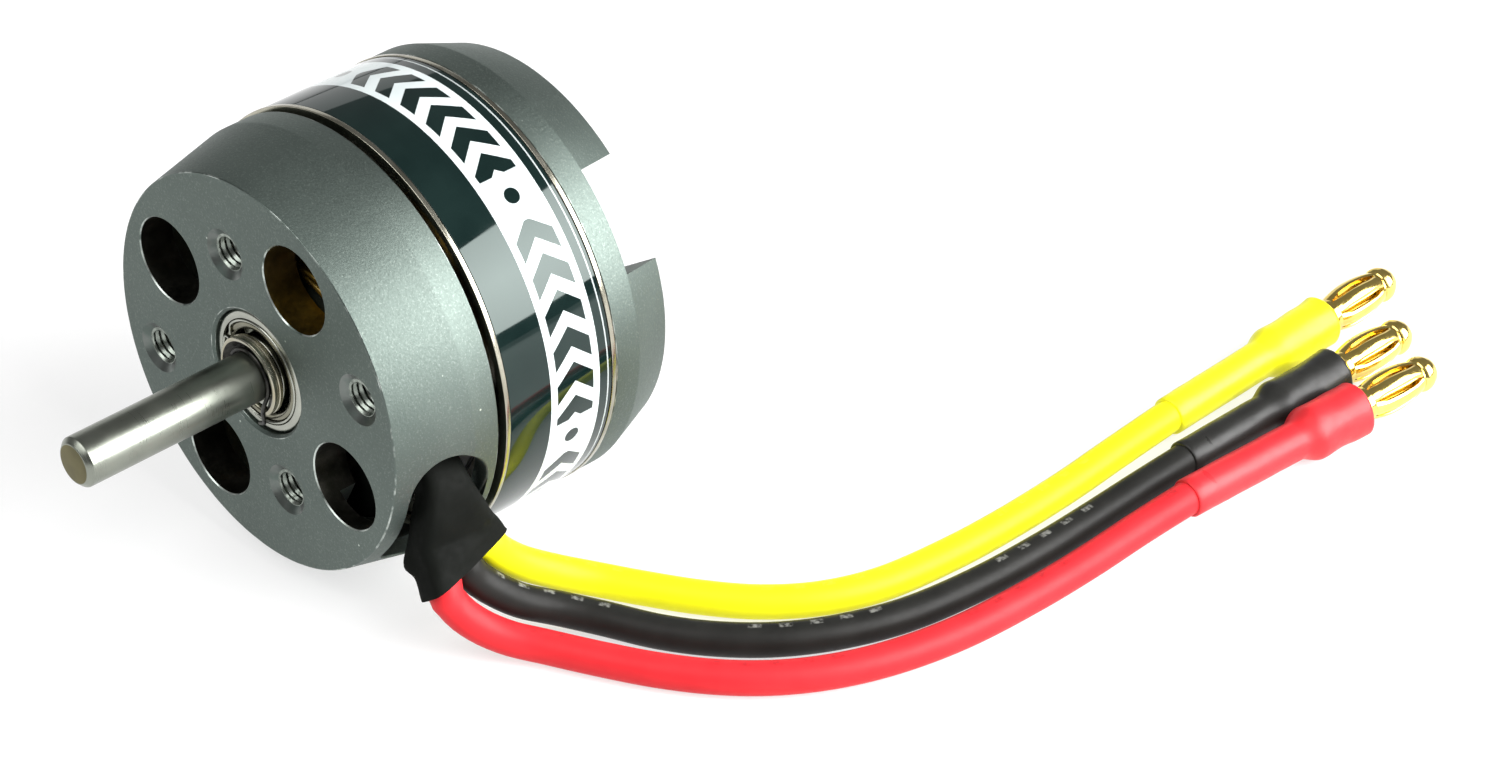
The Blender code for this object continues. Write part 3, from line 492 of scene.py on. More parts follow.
def floor_board():
    f = Finish("studio_floor", Specular_IOR_Level=0.1, Emission_Color=(1.0, 1.0, 1.0), Emission_Strength=0.66)
    cloud = f.noise(60.0, 3.0)
    colour = f.mix(cloud, (0.34, 0.34, 0.34), (0.36, 0.36, 0.36))
    return f.made(colour, f.spread(cloud, 0.75, 0.9))


# Mesh helpers.


def polar(radius, angle_deg, station=0.0):
    """A point at this radius and angle about the motor's axis, 0 degrees at +X and 90 at +Z."""
    angle = math.radians(angle_deg)
    return Vector((radius * math.cos(angle), station, radius * math.sin(angle)))


def axis_turn(angle_deg):
    """A turn about the motor's axis, from +X towards +Z."""
    return Matrix.Rotation(-math.radians(angle_deg), 4, "Y")


OUTWARDS = Matrix.Rotation(-math.pi / 2, 4, "Z")


def mesh_object(name, bm, materials, sharp_deg=30.0):
    """A smooth object placed in the row, from a mesh in millimetres about the motor's axis."""
    bmesh.ops.recalc_face_normals(bm, faces=bm.faces)
    bmesh.ops.transform(bm, matrix=TO_ROW, verts=bm.verts)
    mesh = bpy.data.meshes.new(name)
    bm.to_mesh(mesh)
    bm.free()
    for material in materials:
        mesh.materials.append(material)
    mesh.shade_smooth()
    mesh.set_sharp_from_angle(angle=math.radians(sharp_deg))
    obj = bpy.data.objects.new(name, mesh)
    bpy.context.scene.collection.objects.link(obj)
    return obj


def piece(obj, body, slot, *nodes):
    """The object rides on its body, and stands for these CAD nodes."""
    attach(obj, body)
    if nodes:
        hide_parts(*nodes)
    return obj


def softened(profile, steps=4):
    """Rounds the corners of (station, radius, softness, material) points, as (station, radius, material)."""
    closed = profile[0][1] > 0.0
    points = [Vector(p[:2]) for p in profile]
    count = len(points)
    made = []
    for i, corner in enumerate(profile):
        soft = corner[2] if len(corner) > 2 else 0.0
        material = corner[3] if len(corner) > 3 else 0
        inner = closed or 0 < i < count - 1
        if not soft or not inner:
            made.append((*points[i], material))
            continue
        before = (points[i - 1] - points[i]).normalized() * soft
        after = (points[(i + 1) % count] - points[i]).normalized() * soft
        for k in range(steps + 1):
            t = k / steps
            at = points[i] + before * (1 - t) ** 2 + after * t**2
            made.append((*at, material if k < steps else 0))
    return made


def skin(bm, first, second, material=0):
    """Faces between two rings of vertices; a ring of one vertex is a pole."""
    count = max(len(first), len(second))
    for k in range(count):
        j = (k + 1) % count
        corners = [first[k % len(first)], first[j % len(first)]]
        corners += [second[j % len(second)], second[k % len(second)]]
        face = bm.faces.new(list(dict.fromkeys(corners)))
        face.material_index = material


def add_lathe(bm, profile, segments, place=None, wave=None):
    """Turns (station, radius, material) points about local Y. wave(station, angle) is added to the radius."""
    place = place or Matrix.Identity(4)
    rings = []
    for station, radius, *_ in profile:
        ring = []
        for k in range(segments if radius > 0.0 else 1):
            angle = 360.0 * k / segments
            extra = wave(station, angle) if wave and radius > 0.0 else 0.0
            ring.append(bm.verts.new(place @ polar(radius + extra, angle, station)))
        rings.append(ring)
    for i, (first, second) in enumerate(zip(rings, rings[1:])):
        skin(bm, first, second, profile[i][2])
    if profile[0][1] > 0.0:
        skin(bm, rings[-1], rings[0], profile[-1][2])
    return rings


def lathe(name, profile, materials, segments=ROUND):
    bm = bmesh.new()
    add_lathe(bm, softened(profile), segments)
    return mesh_object(name, bm, materials)


def add_loft(bm, loops, closed=False):
    """Skins a row of equal loops, with flat ends unless it closes on itself."""
    rings = [[bm.verts.new(point) for point in loop] for loop in loops]
    for first, second in zip(rings, rings[1:]):
        skin(bm, first, second)
    if closed:
        skin(bm, rings[-1], rings[0])
    else:
        bm.faces.new(rings[0])
        bm.faces.new(rings[-1])
    return rings


def add_tube(bm, points, radius, sides=12, closed=False):
    """A round tube along points, carried along without twist."""
    count = len(points)
    loops = []
    normal = None
    for i, point in enumerate(points):
        after = points[(i + 1) % count] if closed else points[min(i + 1, count - 1)]
        before = points[i - 1] if closed else points[max(i - 1, 0)]
        along = (after - before).normalized()
        normal = normal or along.orthogonal()
        normal = (normal - along * normal.dot(along)).normalized()
        across = along.cross(normal)
        turns = [math.tau * k / sides for k in range(sides)]
        loops.append([point + (normal * math.cos(a) + across * math.sin(a)) * radius for a in turns])
    return add_loft(bm, loops, closed)


def catmull_rom(a, b, c, d, t):
    """The value at share t of the way from b to c, on a smooth curve through all four."""
    return 0.5 * ((2 * b) + (c - a) * t + (2 * a - 5 * b + 4 * c - d) * t**2
                  + (3 * b - a - 3 * c + d) * t**3)


def with_ends(rows):
    """The rows with one more beyond each end, so that a curve can run through all of them."""
    return [rows[0] * 2 - rows[1], *rows, rows[-1] * 2 - rows[-2]]


def between(rows, at):
    """The value of a smooth curve through rows of vectors, where at counts rows."""
    k = min(int(at), len(rows) - 2)
    return catmull_rom(*with_ends(rows)[k:k + 4], at - k)


def smooth_route(points, step):
    """Points about a step apart on a smooth curve through the given points."""
    ends = with_ends(points)
    made = []
    for k in range(len(points) - 1):
        count = max(2, round((points[k + 1] - points[k]).length / step))
        made += [catmull_rom(*ends[k:k + 4], i / count) for i in range(count)]
    made.append(points[-1].copy())
    return made


def subtract(obj, cutters):
    """Cuts the cutters out of the object for good; their faces keep their material index."""
    for cutter in cutters:
        modifier = obj.modifiers.new(cutter.name, "BOOLEAN")
        modifier.operation = "DIFFERENCE"
        modifier.solver = "EXACT"
        modifier.object = cutter
    graph = bpy.context.evaluated_depsgraph_get()
    mesh = bpy.data.meshes.new_from_object(obj.evaluated_get(graph))
    obj.modifiers.clear()
    obj.data = mesh
    mesh.shade_smooth()
    mesh.set_sharp_from_angle(angle=math.radians(30.0))
    for cutter in cutters:
        bpy.data.objects.remove(cutter, do_unlink=True)
    return obj


# Leads, sleeves and connectors.


def add_lead(name, route, material):
    """A lead that starts inside the heat-shrink's mouth and ends inside its sleeve."""
    heading = (route[-1] - route[-2]).normalized()
    # Further in, the leads lie closer together.
    aside = (route[0] - MOUTH).dot(MOUTH_WIDTH_DIRECTION)
    throat, root = (Vector(HEAT_SHRINK[row][0]) + Vector(HEAT_SHRINK[row][1]) * aside * share
                    for row, share in ((-2, 0.66), (-3, 0.36)))
    points = [root, throat, *route, route[-1] + heading * 2.5]
    path = smooth_route(points, 0.7)
    bm = bmesh.new()
    lay = bm.verts.layers.float_vector.new("lay")
    rings = add_tube(bm, path, LEAD_DIAMETER / 2, 28)
    run = 0.0
    for i, ring in enumerate(rings):
        along = (path[min(i + 1, len(path) - 1)] - path[max(i - 1, 0)]).normalized()
        side = along.cross(Vector((0.0, 0.0, 1.0))).normalized()
        run += (path[i] - path[i - 1]).length if i else 0.0
        for vert in ring:
            out = (vert.co - path[i]).normalized()
            vert[lay] = (run, out.dot(side), out.z)
    return mesh_object(name, bm, [material]), [TO_ROW @ point for point in path]


def add_sleeve(name, lead, place, material):
    """Heat-shrink from the lead up over the connector's cup, drawn in behind it."""
    big, shoulder, end = lead["big_radius"], lead["shoulder"], lead["end"]
    seed = Vector((big * 10, shoulder, end))

    def wave(station, angle):
        at = polar(1.0, angle, station * 0.45) + seed
        swell = min(1.0, max(0.0, (station - shoulder + 1.0) / 2.0))
        return (0.03 + 0.07 * swell) * noise.noise(at * 1.3) - 0.02 * swell

    rows = [(0.0, LEAD_DIAMETER / 2 - 0.02), (0.0, SLEEVE_RADIUS - 0.1), (0.12, SLEEVE_RADIUS)]
    rows += [(0.12 + (shoulder - 0.5) * i / 14, SLEEVE_RADIUS) for i in range(1, 15)]
    for i in range(1, 11):
        t = i / 10
        rows.append((shoulder - 0.38 + 1.9 * t, SLEEVE_RADIUS + (big - SLEEVE_RADIUS) * t * t * (3 - 2 * t)))
    start = rows[-1][0]
    for i in range(1, 9):
        t = i / 8
        rows.append((start + (end - 0.35 - start) * t, big - 0.05 * math.sin(math.pi * t)))
    rows += [(end - 0.12, big + 0.02), (end, big - 0.1), (end + 0.02, big - 0.28), (end - 0.2, 1.75)]
    rows += [(end - 3.0, 1.72), (end - 3.0, 0.0)]
    profile = [(0.0, 0.0, 0)] + [(s, r, 0) for s, r in rows]
    bm = bmesh.new()
    add_lathe(bm, profile, 72, place, wave)
    return mesh_object(name, bm, [material], 50.0)


def add_bullet(name, end, place, material):
    """A gold bullet: turned collars, a lantern of six sprung leaves round a core, and a nose."""
    turned = [
        (-2.9, 0.0), (-2.9, 1.6), (-0.35, 1.6, 0.1), (-0.05, 1.38, 0.08), (0.3, 1.38, 0.05),
        (0.36, 1.26, 0.04), (0.5, 1.26, 0.04), (0.56, 1.4, 0.05), (1.1, 1.4, 0.08), (1.35, 1.2, 0.08),
        (1.6, 0.8, 0.1), (6.3, 0.8, 0.1), (6.45, 1.25, 0.05), (6.6, 1.33, 0.04), (6.72, 1.24, 0.03),
        (6.84, 1.34, 0.03), (7.05, 1.46, 0.1), (7.5, 1.44, 0.2), (8.15, 1.12, 0.25), (8.55, 0.6, 0.25),
        (8.7, 0.0),
    ]
    bm = bmesh.new()
    add_lathe(bm, softened([(end + past, *rest) for past, *rest in turned]), 56, place)
    leaves, gap_deg, across, rows = 6, 21.0, 8, 22
    for leaf in range(leaves):
        loops = []
        for i in range(rows + 1):
            t = i / rows
            station = end + 1.0 + 5.75 * t
            radius = 1.27 + 0.48 * math.sin(math.pi * t ** 0.9) ** 0.8
            open_deg = gap_deg * min(1.0, 5 * t, 5 * (1 - t))
            span = 360.0 / leaves - open_deg
            start = 360.0 / leaves * leaf - span / 2
            loop = []
            for layer, order in ((0.0, range(across + 1)), (0.3, range(across, -1, -1))):
                for k in order:
                    share = k / across
                    crown = 0.11 * (2 * share - 1) ** 4
                    loop.append(place @ polar(radius - layer - crown, start + span * share, station))
            loops.append(loop)
        add_loft(bm, loops)
    return mesh_object(name, bm, [material], 40.0)


def add_heat_shrink(name, material):
    """A tube that flattens as it leaves the housing, with a slanted open mouth round the three leads."""
    last = len(HEAT_SHRINK) - 1
    sides, rows_each, squareness = 96, 8, 0.56
    centres = [Vector(row[0]) for row in HEAT_SHRINK]
    widths = [Vector(row[1]) for row in HEAT_SHRINK]
    sizes = [Vector(row[2:]).to_3d() for row in HEAT_SHRINK]

    def section(at, inset=0.0):
        centre = between(centres, at)
        along = (between(centres, min(at + 0.05, last)) - between(centres, at - 0.05)).normalized()
        wide = between(widths, at)
        wide = (wide - along * wide.dot(along)).normalized()
        thick = along.cross(wide)
        half_width, half_thickness, _ = between(sizes, at)
        near_mouth = max(0.0, (at - last + 2) / 2) ** 1.5
        pinch = 0.7 * math.exp(-((at - last + 1.5) / 0.45) ** 2)
        loop = []
        for k in range(sides):
            angle = math.tau * k / sides
            c, s = math.cos(angle), math.sin(angle)
            fold = pinch * max(0.0, -2 * c) * max(0.0, -2 * s) / 2
            c = math.copysign(abs(c) ** squareness, c)
            s = math.copysign(abs(s) ** squareness, s)
            point = wide * ((half_width - inset) * c - fold)
            point += thick * ((half_thickness - inset) * s - fold * 0.3)
            point -= along * near_mouth * (MOUTH_SLANT * (1 + s) / 2 + MOUTH_SKEW * c)
            pucker = noise.noise((centre + point) * 0.5) * 0.1 + noise.noise((centre + point) * 1.7) * 0.035
            loop.append(centre + point + (wide * c + thick * s) * pucker * (0.4 if inset else 1.0))
        return loop

    lining = ((0.0, 0.12), (0.1, 0.3), (0.5, 0.34), (1.2, 0.34))
    loops = [section(i / rows_each) for i in range(1, last * rows_each + 1)]
    loops += [section(last - depth, inset) for depth, inset in lining]
    bm = bmesh.new()
    add_loft(bm, loops)
    return mesh_object(name, bm, [material], 60.0)


def make_leads(gold):
    """The cords first: each lead with its sleeve and connector."""
    shrink = shrunk_tube("black_heat_shrink_skin", (0.0035, 0.0042, 0.0035), (0.0055, 0.0062, 0.0052),
                         (0.55, 0.7), gloss=0.05)
    root = add_heat_shrink("lead_root_heat_shrink", shrink)
    piece(root, "stator", "heat_shrink", "lead_heat_shrink")
    for colour, lead in LEADS.items():
        slot = f"{colour}_insulation"
        route = [Vector((x, s, h)) - Vector((0.0, 0.0, AXIS_HEIGHT / MM)) for x, s, h in lead["route"]]
        wire, path = add_lead(f"{colour}_silicone_lead", route, silicone_lead(f"{colour}_silicone", lead))
        heading = Matrix.Rotation(math.radians(lead["heading_deg"]), 4, "Z")
        place = Matrix.Translation(route[-1] + heading @ Vector((0.0, LEAD_GAP, 0.0))) @ heading
        sleeve_skin = shrunk_tube(f"{colour}_sleeve_skin", lead["colour"], lead["shade"],
                                  (0.34, 0.46), 0.012, gloss=0.3)
        sleeve = add_sleeve(f"{colour}_sleeve", lead, place, sleeve_skin)
        bullet = add_bullet(f"{colour}_gold_bullet", lead["end"], place, gold)
        piece(wire, "stator", slot, f"{colour}_lead")
        piece(sleeve, "stator", slot, f"{colour}_lead_sleeve")
        piece(bullet, "stator", "gold_plate", f"{colour}_bullet_connector")


# The motor.


def hole_cutter(holes):
    """Holes parallel to the axis, each a (station, radius, material) profile, a circle and an angle."""
    bm = bmesh.new()
    for profile, circle, angle in holes:
        add_lathe(bm, profile, 72, Matrix.Translation(polar(circle, angle)))
    return mesh_object("hole_cutter", bm, [])


def lead_slot_cutter():
    """A stadium pushed through the side wall, flared where it meets the outer surface."""
    half_width = LEAD_SLOT_WIDTH / 2
    centre = LEAD_SLOT_LENGTH / 2 - half_width
    steps = 28
    outline = []
    for side in (1, -1):
        for i in range(steps + 1):
            angle = math.radians(180 * i / steps - 90 * side)
            outline.append(Vector((math.sin(angle), side * centre, math.cos(angle))))

    def loop(grow, height):
        """height is a distance from the axis, or an offset from the outer surface if it is small."""
        points = []
        for turn in outline:
            station = LEAD_SLOT_STATION + (half_width + grow) * turn.x
            around = turn.y + (half_width + grow) * turn.z
            cone = min(1.0, max(0.0, station) / HOUSING_CONE_END)
            outside = HOUSING_FACE_RADIUS + (HOUSING_RADIUS - HOUSING_FACE_RADIUS) * cone
            level = math.sqrt(outside**2 - around**2) + height if height < 5 else height
            points.append(axis_turn(LEAD_SLOT_ANGLE) @ Vector((level, station, around)))
        return points

    size = LEAD_SLOT_CHAMFER
    bm = bmesh.new()
    add_loft(bm, [loop(0, 10.0), loop(0, -size), loop(size * 0.3, -size * 0.35), loop(size, 0.02),
                  loop(size * 1.3, 3.0)])
    return mesh_object("lead_slot_cutter", bm, [])


def add_thread(bm, circle, angle_deg):
    """A short threaded wall inside a screw hole: helical crests on a thin bush."""
    minor, major, outside = THREAD_RADII
    first, depth = 0.42, FRONT_WALL - 0.5
    around, rows = 48, 48
    place = Matrix.Translation(polar(circle, angle_deg))
    loops = []
    for i in range(rows + 1):
        station = first + depth * i / rows
        loop = []
        for k in range(around):
            phase = (station / THREAD_PITCH - k / around) % 1.0
            crest = abs(2 * phase - 1)
            flank = min(1.0, max(0.0, (crest - 0.12) / 0.76))
            loop.append(place @ polar(minor + (major - minor) * flank, 360.0 * k / around, station))
        loops.append(loop)
    for station in (first + depth, first):
        loops.append([place @ polar(outside, 360.0 * k / around, station) for k in range(around)])
    add_loft(bm, loops, closed=True)


def make_housing(materials):
    """The turned shell, bored for cooling, screws and leads, with its threads."""
    skins = ("anodised", "worn", "chamfer", "hole_wall", "countersink")
    plain, worn, chamfer, wall, sink = range(len(skins))
    profile = [
        (0.0, HOUSING_FACE_RADIUS, 0.09, worn), (HOUSING_CONE_END, HOUSING_RADIUS, 0.12),
        (HOUSING_END, HOUSING_RADIUS, 0.1, worn), (HOUSING_END, 16.0, 0.1), (FRONT_WALL, 15.6, 0.9),
        (FRONT_WALL, 7.3, 0.5), (8.3, 7.3, 0.2), (8.3, 6.35, 0.1), (4.85, 6.35), (4.85, 4.4), (4.4, 4.4),
        (4.4, 5.03), (0.2, 5.03, 0.02, worn), (0.0, 5.26, 0.04, worn),
    ]
    housing = lathe("front_housing_shell", profile, [materials[name] for name in skins], FINE)
    edge, deep = 0.09, FRONT_WALL + 1.0
    radius = COOLING_HOLE_RADIUS
    cooling = [(-1.0, 0.0, plain), (-1.0, radius + edge + 1.0, chamfer), (edge, radius, wall),
               (deep, radius, plain), (deep, 0.0, plain)]
    screw = [(-1.0, 0.0, plain), (-1.0, 3.43, sink), (0.42, 1.48, plain),
             (deep, 1.48, plain), (deep, 0.0, plain)]
    holes = [(cooling, COOLING_HOLE_CIRCLE, angle) for angle in COOLING_HOLE_ANGLES]
    holes += [(screw, circle, angle) for circle, angle in SCREW_HOLES]
    subtract(housing, [hole_cutter(holes), lead_slot_cutter()])
    piece(housing, "stator", "anodised_aluminium", "front_housing")
    for i, (circle, angle) in enumerate(SCREW_HOLES):
        bm = bmesh.new()
        add_thread(bm, circle, angle)
        thread = mesh_object(f"mounting_thread_{i + 1}", bm, [materials["thread"]], 25.0)
        piece(thread, "stator", "anodised_aluminium")


def make_bearing(name, front, steel, shield_steel):
    """Races with softened edges, and a dished shield."""
    middle, rear = front + 2.0, front + 4.0
    outer = [
        (front, 4.28, 0.08), (front, 5.0, 0.5),
        (rear, 5.0, 0.16), (rear, 4.16, 0.04), (middle + 0.75, 4.16),
        (middle + 0.35, 4.4, 0.1), (middle - 0.35, 4.4, 0.1), (middle - 0.75, 4.28),
    ]
    inner = [
        (front, 2.06, 0.08), (front, 2.9, 0.14), (middle - 0.75, 2.9), (middle - 0.35, 2.62, 0.1),
        (middle + 0.35, 2.62, 0.1), (middle + 0.75, 2.9), (rear, 2.9, 0.14), (rear, 2.06, 0.08),
    ]
    piece(lathe(f"{name}_outer_ring", outer, [steel]), "stator", "bearing_steel", f"{name}_outer_race")
    piece(lathe(f"{name}_inner_ring", inner, [steel]), "rotor", "bearing_steel", f"{name}_inner_race")
    # The shield stands in the race's outer face, which points away from the motor's middle.
    face, sign = (front, 1) if name.startswith("front") else (rear, -1)
    steps = ((0.5, 3.34, 0.03), (0.12, 3.46, 0.14), (0.0, 3.7, 0.14), (0.08, 3.98, 0.1), (0.36, 4.04, 0.05),
             (0.36, 4.14, 0.02), (0.6, 4.14, 0.02), (0.64, 3.34, 0.02))
    profile = [(face + sign * depth, radius, soft) for depth, radius, soft in steps]
    shield = lathe(f"{name}_dished_shield", profile, [shield_steel])
    piece(shield, "stator", "bearing_steel", f"{name}_shield")


def make_snap_wire(steel):
    """A round wire ring in the bearing's groove, open at the upper left, with its ends bent inwards."""
    ring = [polar(4.13, 138.0 - 334.0 * i / 60, 0.3) for i in range(61)]
    start = [polar(3.5, 147.0, 0.14), polar(3.8, 144.0, 0.2), polar(4.03, 141.0, 0.27)]
    finish = [polar(4.03, -199.0, 0.27), polar(3.8, -202.0, 0.2), polar(3.5, -205.0, 0.14)]
    bm = bmesh.new()
    add_tube(bm, start + ring + finish, 0.11)
    obj = mesh_object("front_bearing_wire_ring", bm, [steel], 50.0)
    piece(obj, "stator", "bearing_steel", "front_bearing_snap_ring")


def make_clip(steel, dark):
    """A thick C-ring round the shaft with bevelled rims, and the thin wire that locks it."""
    outer, front, back = 3.2, -0.85, 0.12
    dish = [(2.08, -0.02), (2.2, -0.06), (2.5, -0.35), (outer - 0.36, -0.72)]
    rim = [(outer - 0.29, front + 0.03), (outer - 0.2, front), (outer - 0.1, front + 0.02),
           (outer - 0.02, front + 0.1), (outer, front + 0.22)]
    groove = [(outer, -0.42), (outer - 0.07, -0.36), (outer - 0.07, -0.3), (outer, -0.24)]
    rear = [(outer, back - 0.15), (outer - 0.15, back), (2.16, back), (2.08, back - 0.1)]
    steps, first_deg, sweep_deg = 108, -47.0, 281.0
    loops = []
    for i in range(steps + 1):
        angle = first_deg + sweep_deg * i / steps
        loops.append([polar(radius, angle, station) for radius, station in dish + rim + groove + rear])
    bm = bmesh.new()
    add_loft(bm, loops)
    # The dish inside the front rim is given the dark steel: painted shade from the shaft on the clip's face.
    for face in bm.faces:
        middle = face.calc_center_median()
        face.material_index = int(math.hypot(middle.x, middle.z) < outer - 0.31 and middle.y < -0.03)
    ring = mesh_object("shaft_spring_clip", bm, [steel, dark], 35.0)
    piece(ring, "rotor", "bearing_steel", "shaft_retaining_clip")
    hoop = [polar(2.2, 150.0 - 175.0 * i / 36, -0.6) for i in range(37)]
    tail = [polar(2.28, -37.0, -0.66), polar(2.5, -50.0, -0.68), polar(2.95, -64.0, -0.55),
            polar(3.75, -73.5, -0.3), polar(4.15, -80.0, -0.1), polar(4.4, -88.0, 0.0)]
    bm = bmesh.new()
    add_tube(bm, smooth_route(hoop + tail, 0.12), 0.17)
    piece(mesh_object("shaft_clip_wire", bm, [dark], 50.0), "rotor", "bearing_steel")


def make_rotor(materials):
    """The shaft, the flux ring with a land at each rim, the label between them, and the cap."""
    front, rear = SHAFT_SPAN
    end = 1
    profile = [
        (front, 0.0, 0.0, end), (front, SHAFT_RADIUS - 0.4, 0.06), (front + 0.4, SHAFT_RADIUS, 0.1),
        (rear - 0.2, SHAFT_RADIUS, 0.06), (rear, SHAFT_RADIUS - 0.2, 0.04), (rear, 0.0),
    ]
    shaft = lathe("ground_shaft", profile, [materials["ground"], materials["end"]], 128)
    piece(shaft, "rotor", "shaft_steel", "shaft")
    front, rear = RING_SPAN
    profile = [
        (front, ROTOR_INNER_RADIUS, 0.1), (front, RING_RADIUS, 0.07),
        (front + RING_LAND, RING_RADIUS, 0.05), (front + RING_LAND, LABEL_SEAT_RADIUS),
        (rear - RING_LAND, LABEL_SEAT_RADIUS), (rear - RING_LAND, RING_RADIUS, 0.05),
        (rear, RING_RADIUS, 0.07), (rear, ROTOR_INNER_RADIUS, 0.1),
    ]
    ring = lathe("flux_ring_turned", profile, [materials["land"]], FINE)
    piece(ring, "rotor", "ring_steel", "flux_ring")
    front, rear = LABEL_SPAN
    inside = LABEL_SEAT_RADIUS + 0.02
    profile = [(front, inside), (front, LABEL_RADIUS, 0.04), (rear, LABEL_RADIUS, 0.04), (rear, inside)]
    label = lathe("gloss_label_band", profile, [materials["label"]], FINE)
    piece(label, "rotor", "gloss_label", "label_sleeve")
    make_cap(materials)


def cap_slot_cutter():
    """Three slots milled in from the rear rim, with rounded inner corners."""
    half, inner, outer, corner = CAP_SLOT_WIDTH / 2, CAP_SLOT_INNER_RADIUS, 20.0, 0.9
    outline = [(outer, -half), (outer, half)]
    for sign in (1, -1):
        for i in range(7):
            angle = math.radians(90 * (i / 6 if sign > 0 else 1 - i / 6))
            outline.append((inner + corner - corner * math.sin(angle),
                            sign * (half - corner + corner * math.cos(angle))))
    bm = bmesh.new()
    for angle in CAP_SLOT_ANGLES:
        turn = axis_turn(angle)
        spans = (CAP_BAND_END, CAP_END + 1)
        add_loft(bm, [[turn @ Vector((x, station, z)) for x, z in outline] for station in spans])
    return mesh_object("cap_slot_cutter", bm, [])


def grub_hole_cutter():
    """Two tapped holes from the hub's side towards the shaft, with a chamfer at the mouth."""
    bm = bmesh.new()
    plain, worn = 0, 1
    hole = GRUB_SCREW_RADIUS + 0.08
    profile = [(1.2, 0.0, plain), (1.2, hole, plain), (5.02, hole, worn),
               (5.35, GRUB_SCREW_RADIUS + 0.4, plain), (5.35, 0.0, plain)]
    for angle in GRUB_SCREW_ANGLES:
        place = Matrix.Translation((0.0, GRUB_SCREW_STATION, 0.0)) @ axis_turn(angle) @ OUTWARDS
        add_lathe(bm, profile, 48, place)
    return mesh_object("grub_hole_cutter", bm, [])


def make_cap(materials):
    """The rear cap with its three slots, and the grub screws in its hub."""
    front, rear = HUB_SPAN
    bore, web = SHAFT_RADIUS + 0.06, front + 1.4
    worn = 1
    profile = [
        (CAP_START, CAP_RADIUS, 0.07, worn), (CAP_BAND_END, CAP_RADIUS, 0.12), (CAP_END, 16.0, 0.14, worn),
        (CAP_END, HUB_RADIUS, 0.5), (rear, HUB_RADIUS, 0.25, worn), (rear, bore, 0.12), (front, bore),
        (front, HUB_RADIUS, 0.3), (web, HUB_RADIUS + 0.4, 0.5), (web, 14.7, 0.6),
        (22.0, ROTOR_INNER_RADIUS, 0.3), (CAP_START, ROTOR_INNER_RADIUS, 0.1),
    ]
    cap = lathe("rear_cap_turned", profile, [materials["anodised"], materials["worn"]], FINE)
    subtract(cap, [cap_slot_cutter(), grub_hole_cutter()])
    piece(cap, "rotor", "anodised_aluminium", "rear_cap")
    for i, angle in enumerate(GRUB_SCREW_ANGLES):
        place = Matrix.Translation((0.0, GRUB_SCREW_STATION, 0.0)) @ axis_turn(angle) @ OUTWARDS
        bm = bmesh.new()
        add_grub_screw(bm, place)
        obj = mesh_object(f"socket_grub_screw_{i + 1}", bm, [materials["dark"]])
        piece(obj, "rotor", "bearing_steel", f"rear_grub_screw_{i + 1}")


def add_grub_screw(bm, place):
    """A set screw with a chamfered rim and a hexagon socket."""
    count = 48

    def ring(station, radius, hexagon=False):
        points = []
        for k in range(count):
            angle = 360.0 * k / count
            off = math.radians((angle + 30) % 60 - 30) if hexagon else 0.0
            points.append(place @ polar(radius / math.cos(off), angle, station))
        return points

    add_loft(bm, [ring(2.3, 1.1), ring(2.6, GRUB_SCREW_RADIUS), ring(4.65, GRUB_SCREW_RADIUS),
                  ring(4.85, 1.2), ring(4.85, 0.72, True), ring(4.75, 0.64, True), ring(3.4, 0.64, True)])


def make_windings(copper):
    """Each coil is two layers of round wire wound on its tooth."""
    for coil in range(COILS):
        bm = bmesh.new()
        turn = axis_turn(360.0 * coil / COILS)
        for layer in range(COIL_LAYERS):
            for k in range(COIL_TURNS - layer):
                radius = COIL_ROOT_RADIUS + (k + 0.5 * layer) * WIRE_PITCH
                half_station = COIL_HALF_LENGTH + 0.47 * layer
                half_side = COIL_HALF_WIDTH + WIRE_PITCH * layer
                points = []
                for corner in range(4):
                    sign_s = 1 if corner in (0, 3) else -1
                    sign_z = 1 if corner in (0, 1) else -1
                    for i in range(4):
                        angle = math.radians(90 * corner + 30 * i)
                        station = sign_s * (half_station - COIL_BEND) + COIL_BEND * math.cos(angle)
                        height = sign_z * (half_side - COIL_BEND) + COIL_BEND * math.sin(angle)
                        wander = 0.05 * noise.noise(Vector((coil * 3.1, k * 1.7 + layer, corner + i / 4)))
                        points.append(turn @ Vector((radius + wander, COIL_CENTRE + station, height)))
                add_tube(bm, points, WIRE_RADIUS, 8, closed=True)
        number = f"{coil + 1:02d}"
        obj = mesh_object(f"stator_winding_{number}", bm, [copper], 60.0)
        piece(obj, "stator", "enamelled_copper", f"stator_coil_{number}")


def make_lead_outs(copper):
    """The twisted ends of the windings, gathered round the bearing boss towards the leads."""
    bm = bmesh.new()
    for strand in range(7):
        points = []
        for i in range(49):
            share = i / 48
            twist = math.radians(60 * strand + 260 * share)
            spread = 0.58 if strand < 6 else 0.0
            radius = 8.25 + spread * math.cos(twist) + 2.6 * max(0.0, share - 0.8)
            station = 4.15 + spread * math.sin(twist) + 1.3 * share**3
            points.append(polar(radius, 150.0 - 165.0 * share, station))
        add_tube(bm, points, 0.32, 10)
    piece(mesh_object("winding_lead_outs", bm, [copper], 60.0), "stator", "enamelled_copper")


def dress(node, material):
    """Gives a CAD node that still shows this material."""
    for slot in frame["nodes"][node].material_slots:
        slot.material = material


def make_floor():
    bm = bmesh.new()
    bmesh.ops.create_grid(bm, x_segments=4, y_segments=4, size=2.0)
    mesh = bpy.data.meshes.new("floor")
    bm.to_mesh(mesh)
    bm.free()
    mesh.materials.append(floor_board())
    floor = bpy.data.objects.new("floor", mesh)
    bpy.context.scene.collection.objects.link(floor)


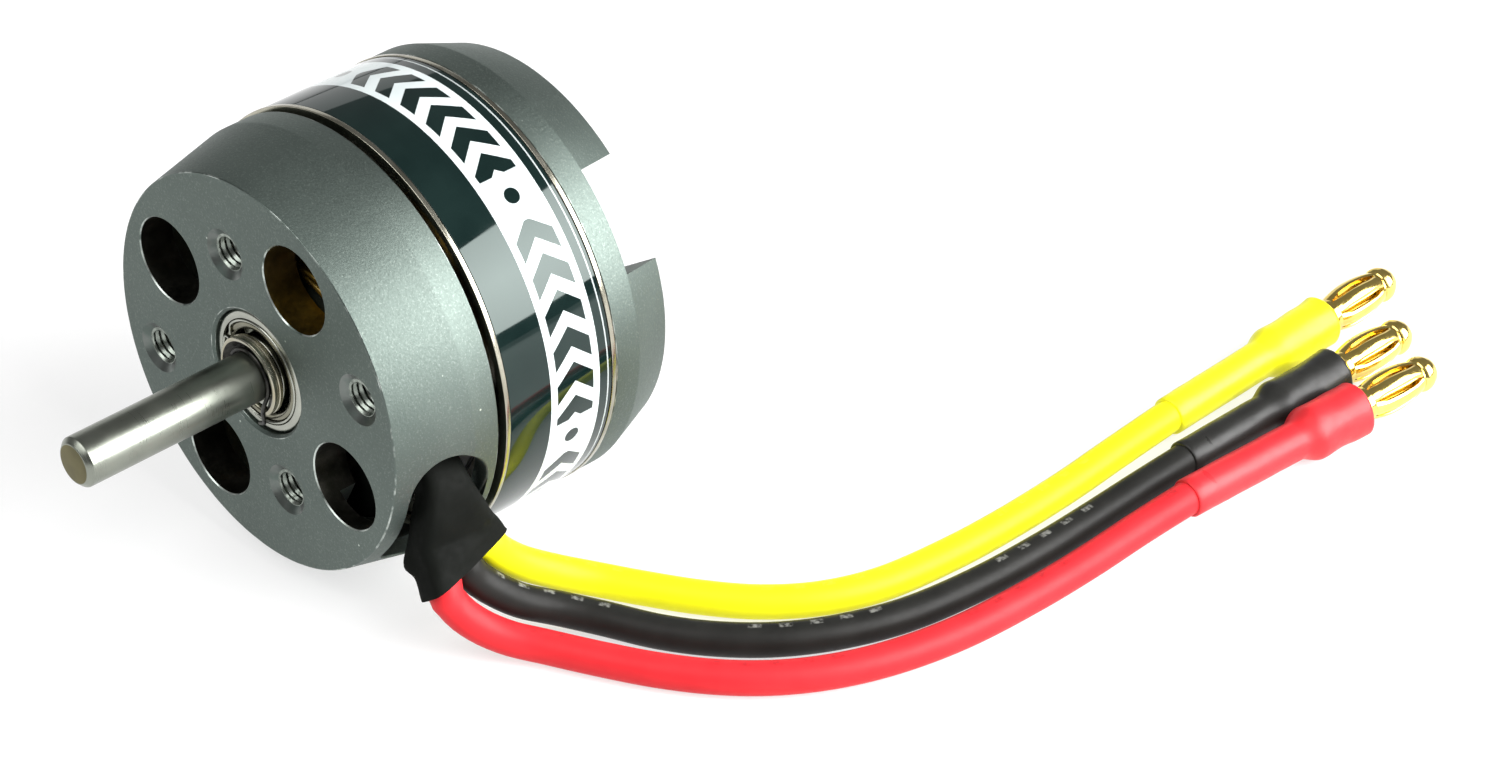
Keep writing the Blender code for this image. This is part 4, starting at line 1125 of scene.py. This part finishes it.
def make_studio():
    make_world(0.2)
    # A wide softbox low behind the motor's right side; its edges show in the gloss label.
    make_light("key_softbox", (0.44, 0.27, 0.262), (0.0, 0.01, 0.0175), (0.75, 0.4), 5.3, 120.0)
    make_light("side_softbox", (0.364, 0.061, 0.43), (0.0, 0.01, 0.0175), (0.25, 0.25), 1.1)
    make_light("front_fill", (-0.1, -0.45, 0.6), (0.01, 0.02, 0.0), (0.6, 0.5), 3.2)
    make_light("left_rim", (-0.55, 0.4, 0.16), (0.0, 0.0, 0.02), (0.6, 0.25), 0.35)


def main():
    make_camera()
    gold = gold_plate()
    make_leads(gold)
    make_floor()
    make_studio()
    bpy.context.scene.view_settings.view_transform = "Standard"
    materials = {
        "anodised": anodised_aluminium(),
        "worn": worn_edge("worn_anodised_edge", 0.5, 0.42),
        "chamfer": worn_edge("bright_cut_chamfer", 0.38, 0.5),
        "hole_wall": hole_wall(),
        "countersink": worn_edge("pale_countersink", 0.4, 0.15),
        "thread": cut_thread(),
        "dark": spring_steel(),
        "label": gloss_label(),
    }
    for key, name, colour, tint, rough, groove_mm in TURNED_METALS:
        materials[key] = turned_metal(name, colour, tint, rough, groove_mm)
    make_housing(materials)
    make_bearing("front_bearing", FRONT_BEARING_STATION, materials["bright"], materials["shield"])
    make_bearing("rear_bearing", REAR_BEARING_STATION, materials["bright"], materials["shield"])
    make_snap_wire(materials["bright"])
    make_clip(materials["clip"], materials["dark"])
    make_rotor(materials)
    make_windings(enamelled_copper("enamelled_copper_wire", (0.5, 0.24, 0.06), (0.62, 0.34, 0.1)))
    # The lead-outs' copper is far darker than the windings': painted shade inside the housing.
    make_lead_outs(enamelled_copper("lead_out_copper_painted_shade", (0.12, 0.075, 0.008), (0.2, 0.13, 0.015)))
    insulator, magnet = moulded_insulator(), nickel_plate()
    dress("stator_core", laminated_steel())
    dress("front_end_insulator", insulator)
    dress("rear_end_insulator", insulator)
    dress("bearing_tube", materials["tube"])
    for node in ("rear_thrust_washer", "front_bearing_ball_cage", "rear_bearing_ball_cage"):
        dress(node, materials["bright"])
    for node in frame["nodes"]:
        if node.startswith("magnet_"):
            dress(node, magnet)


main()
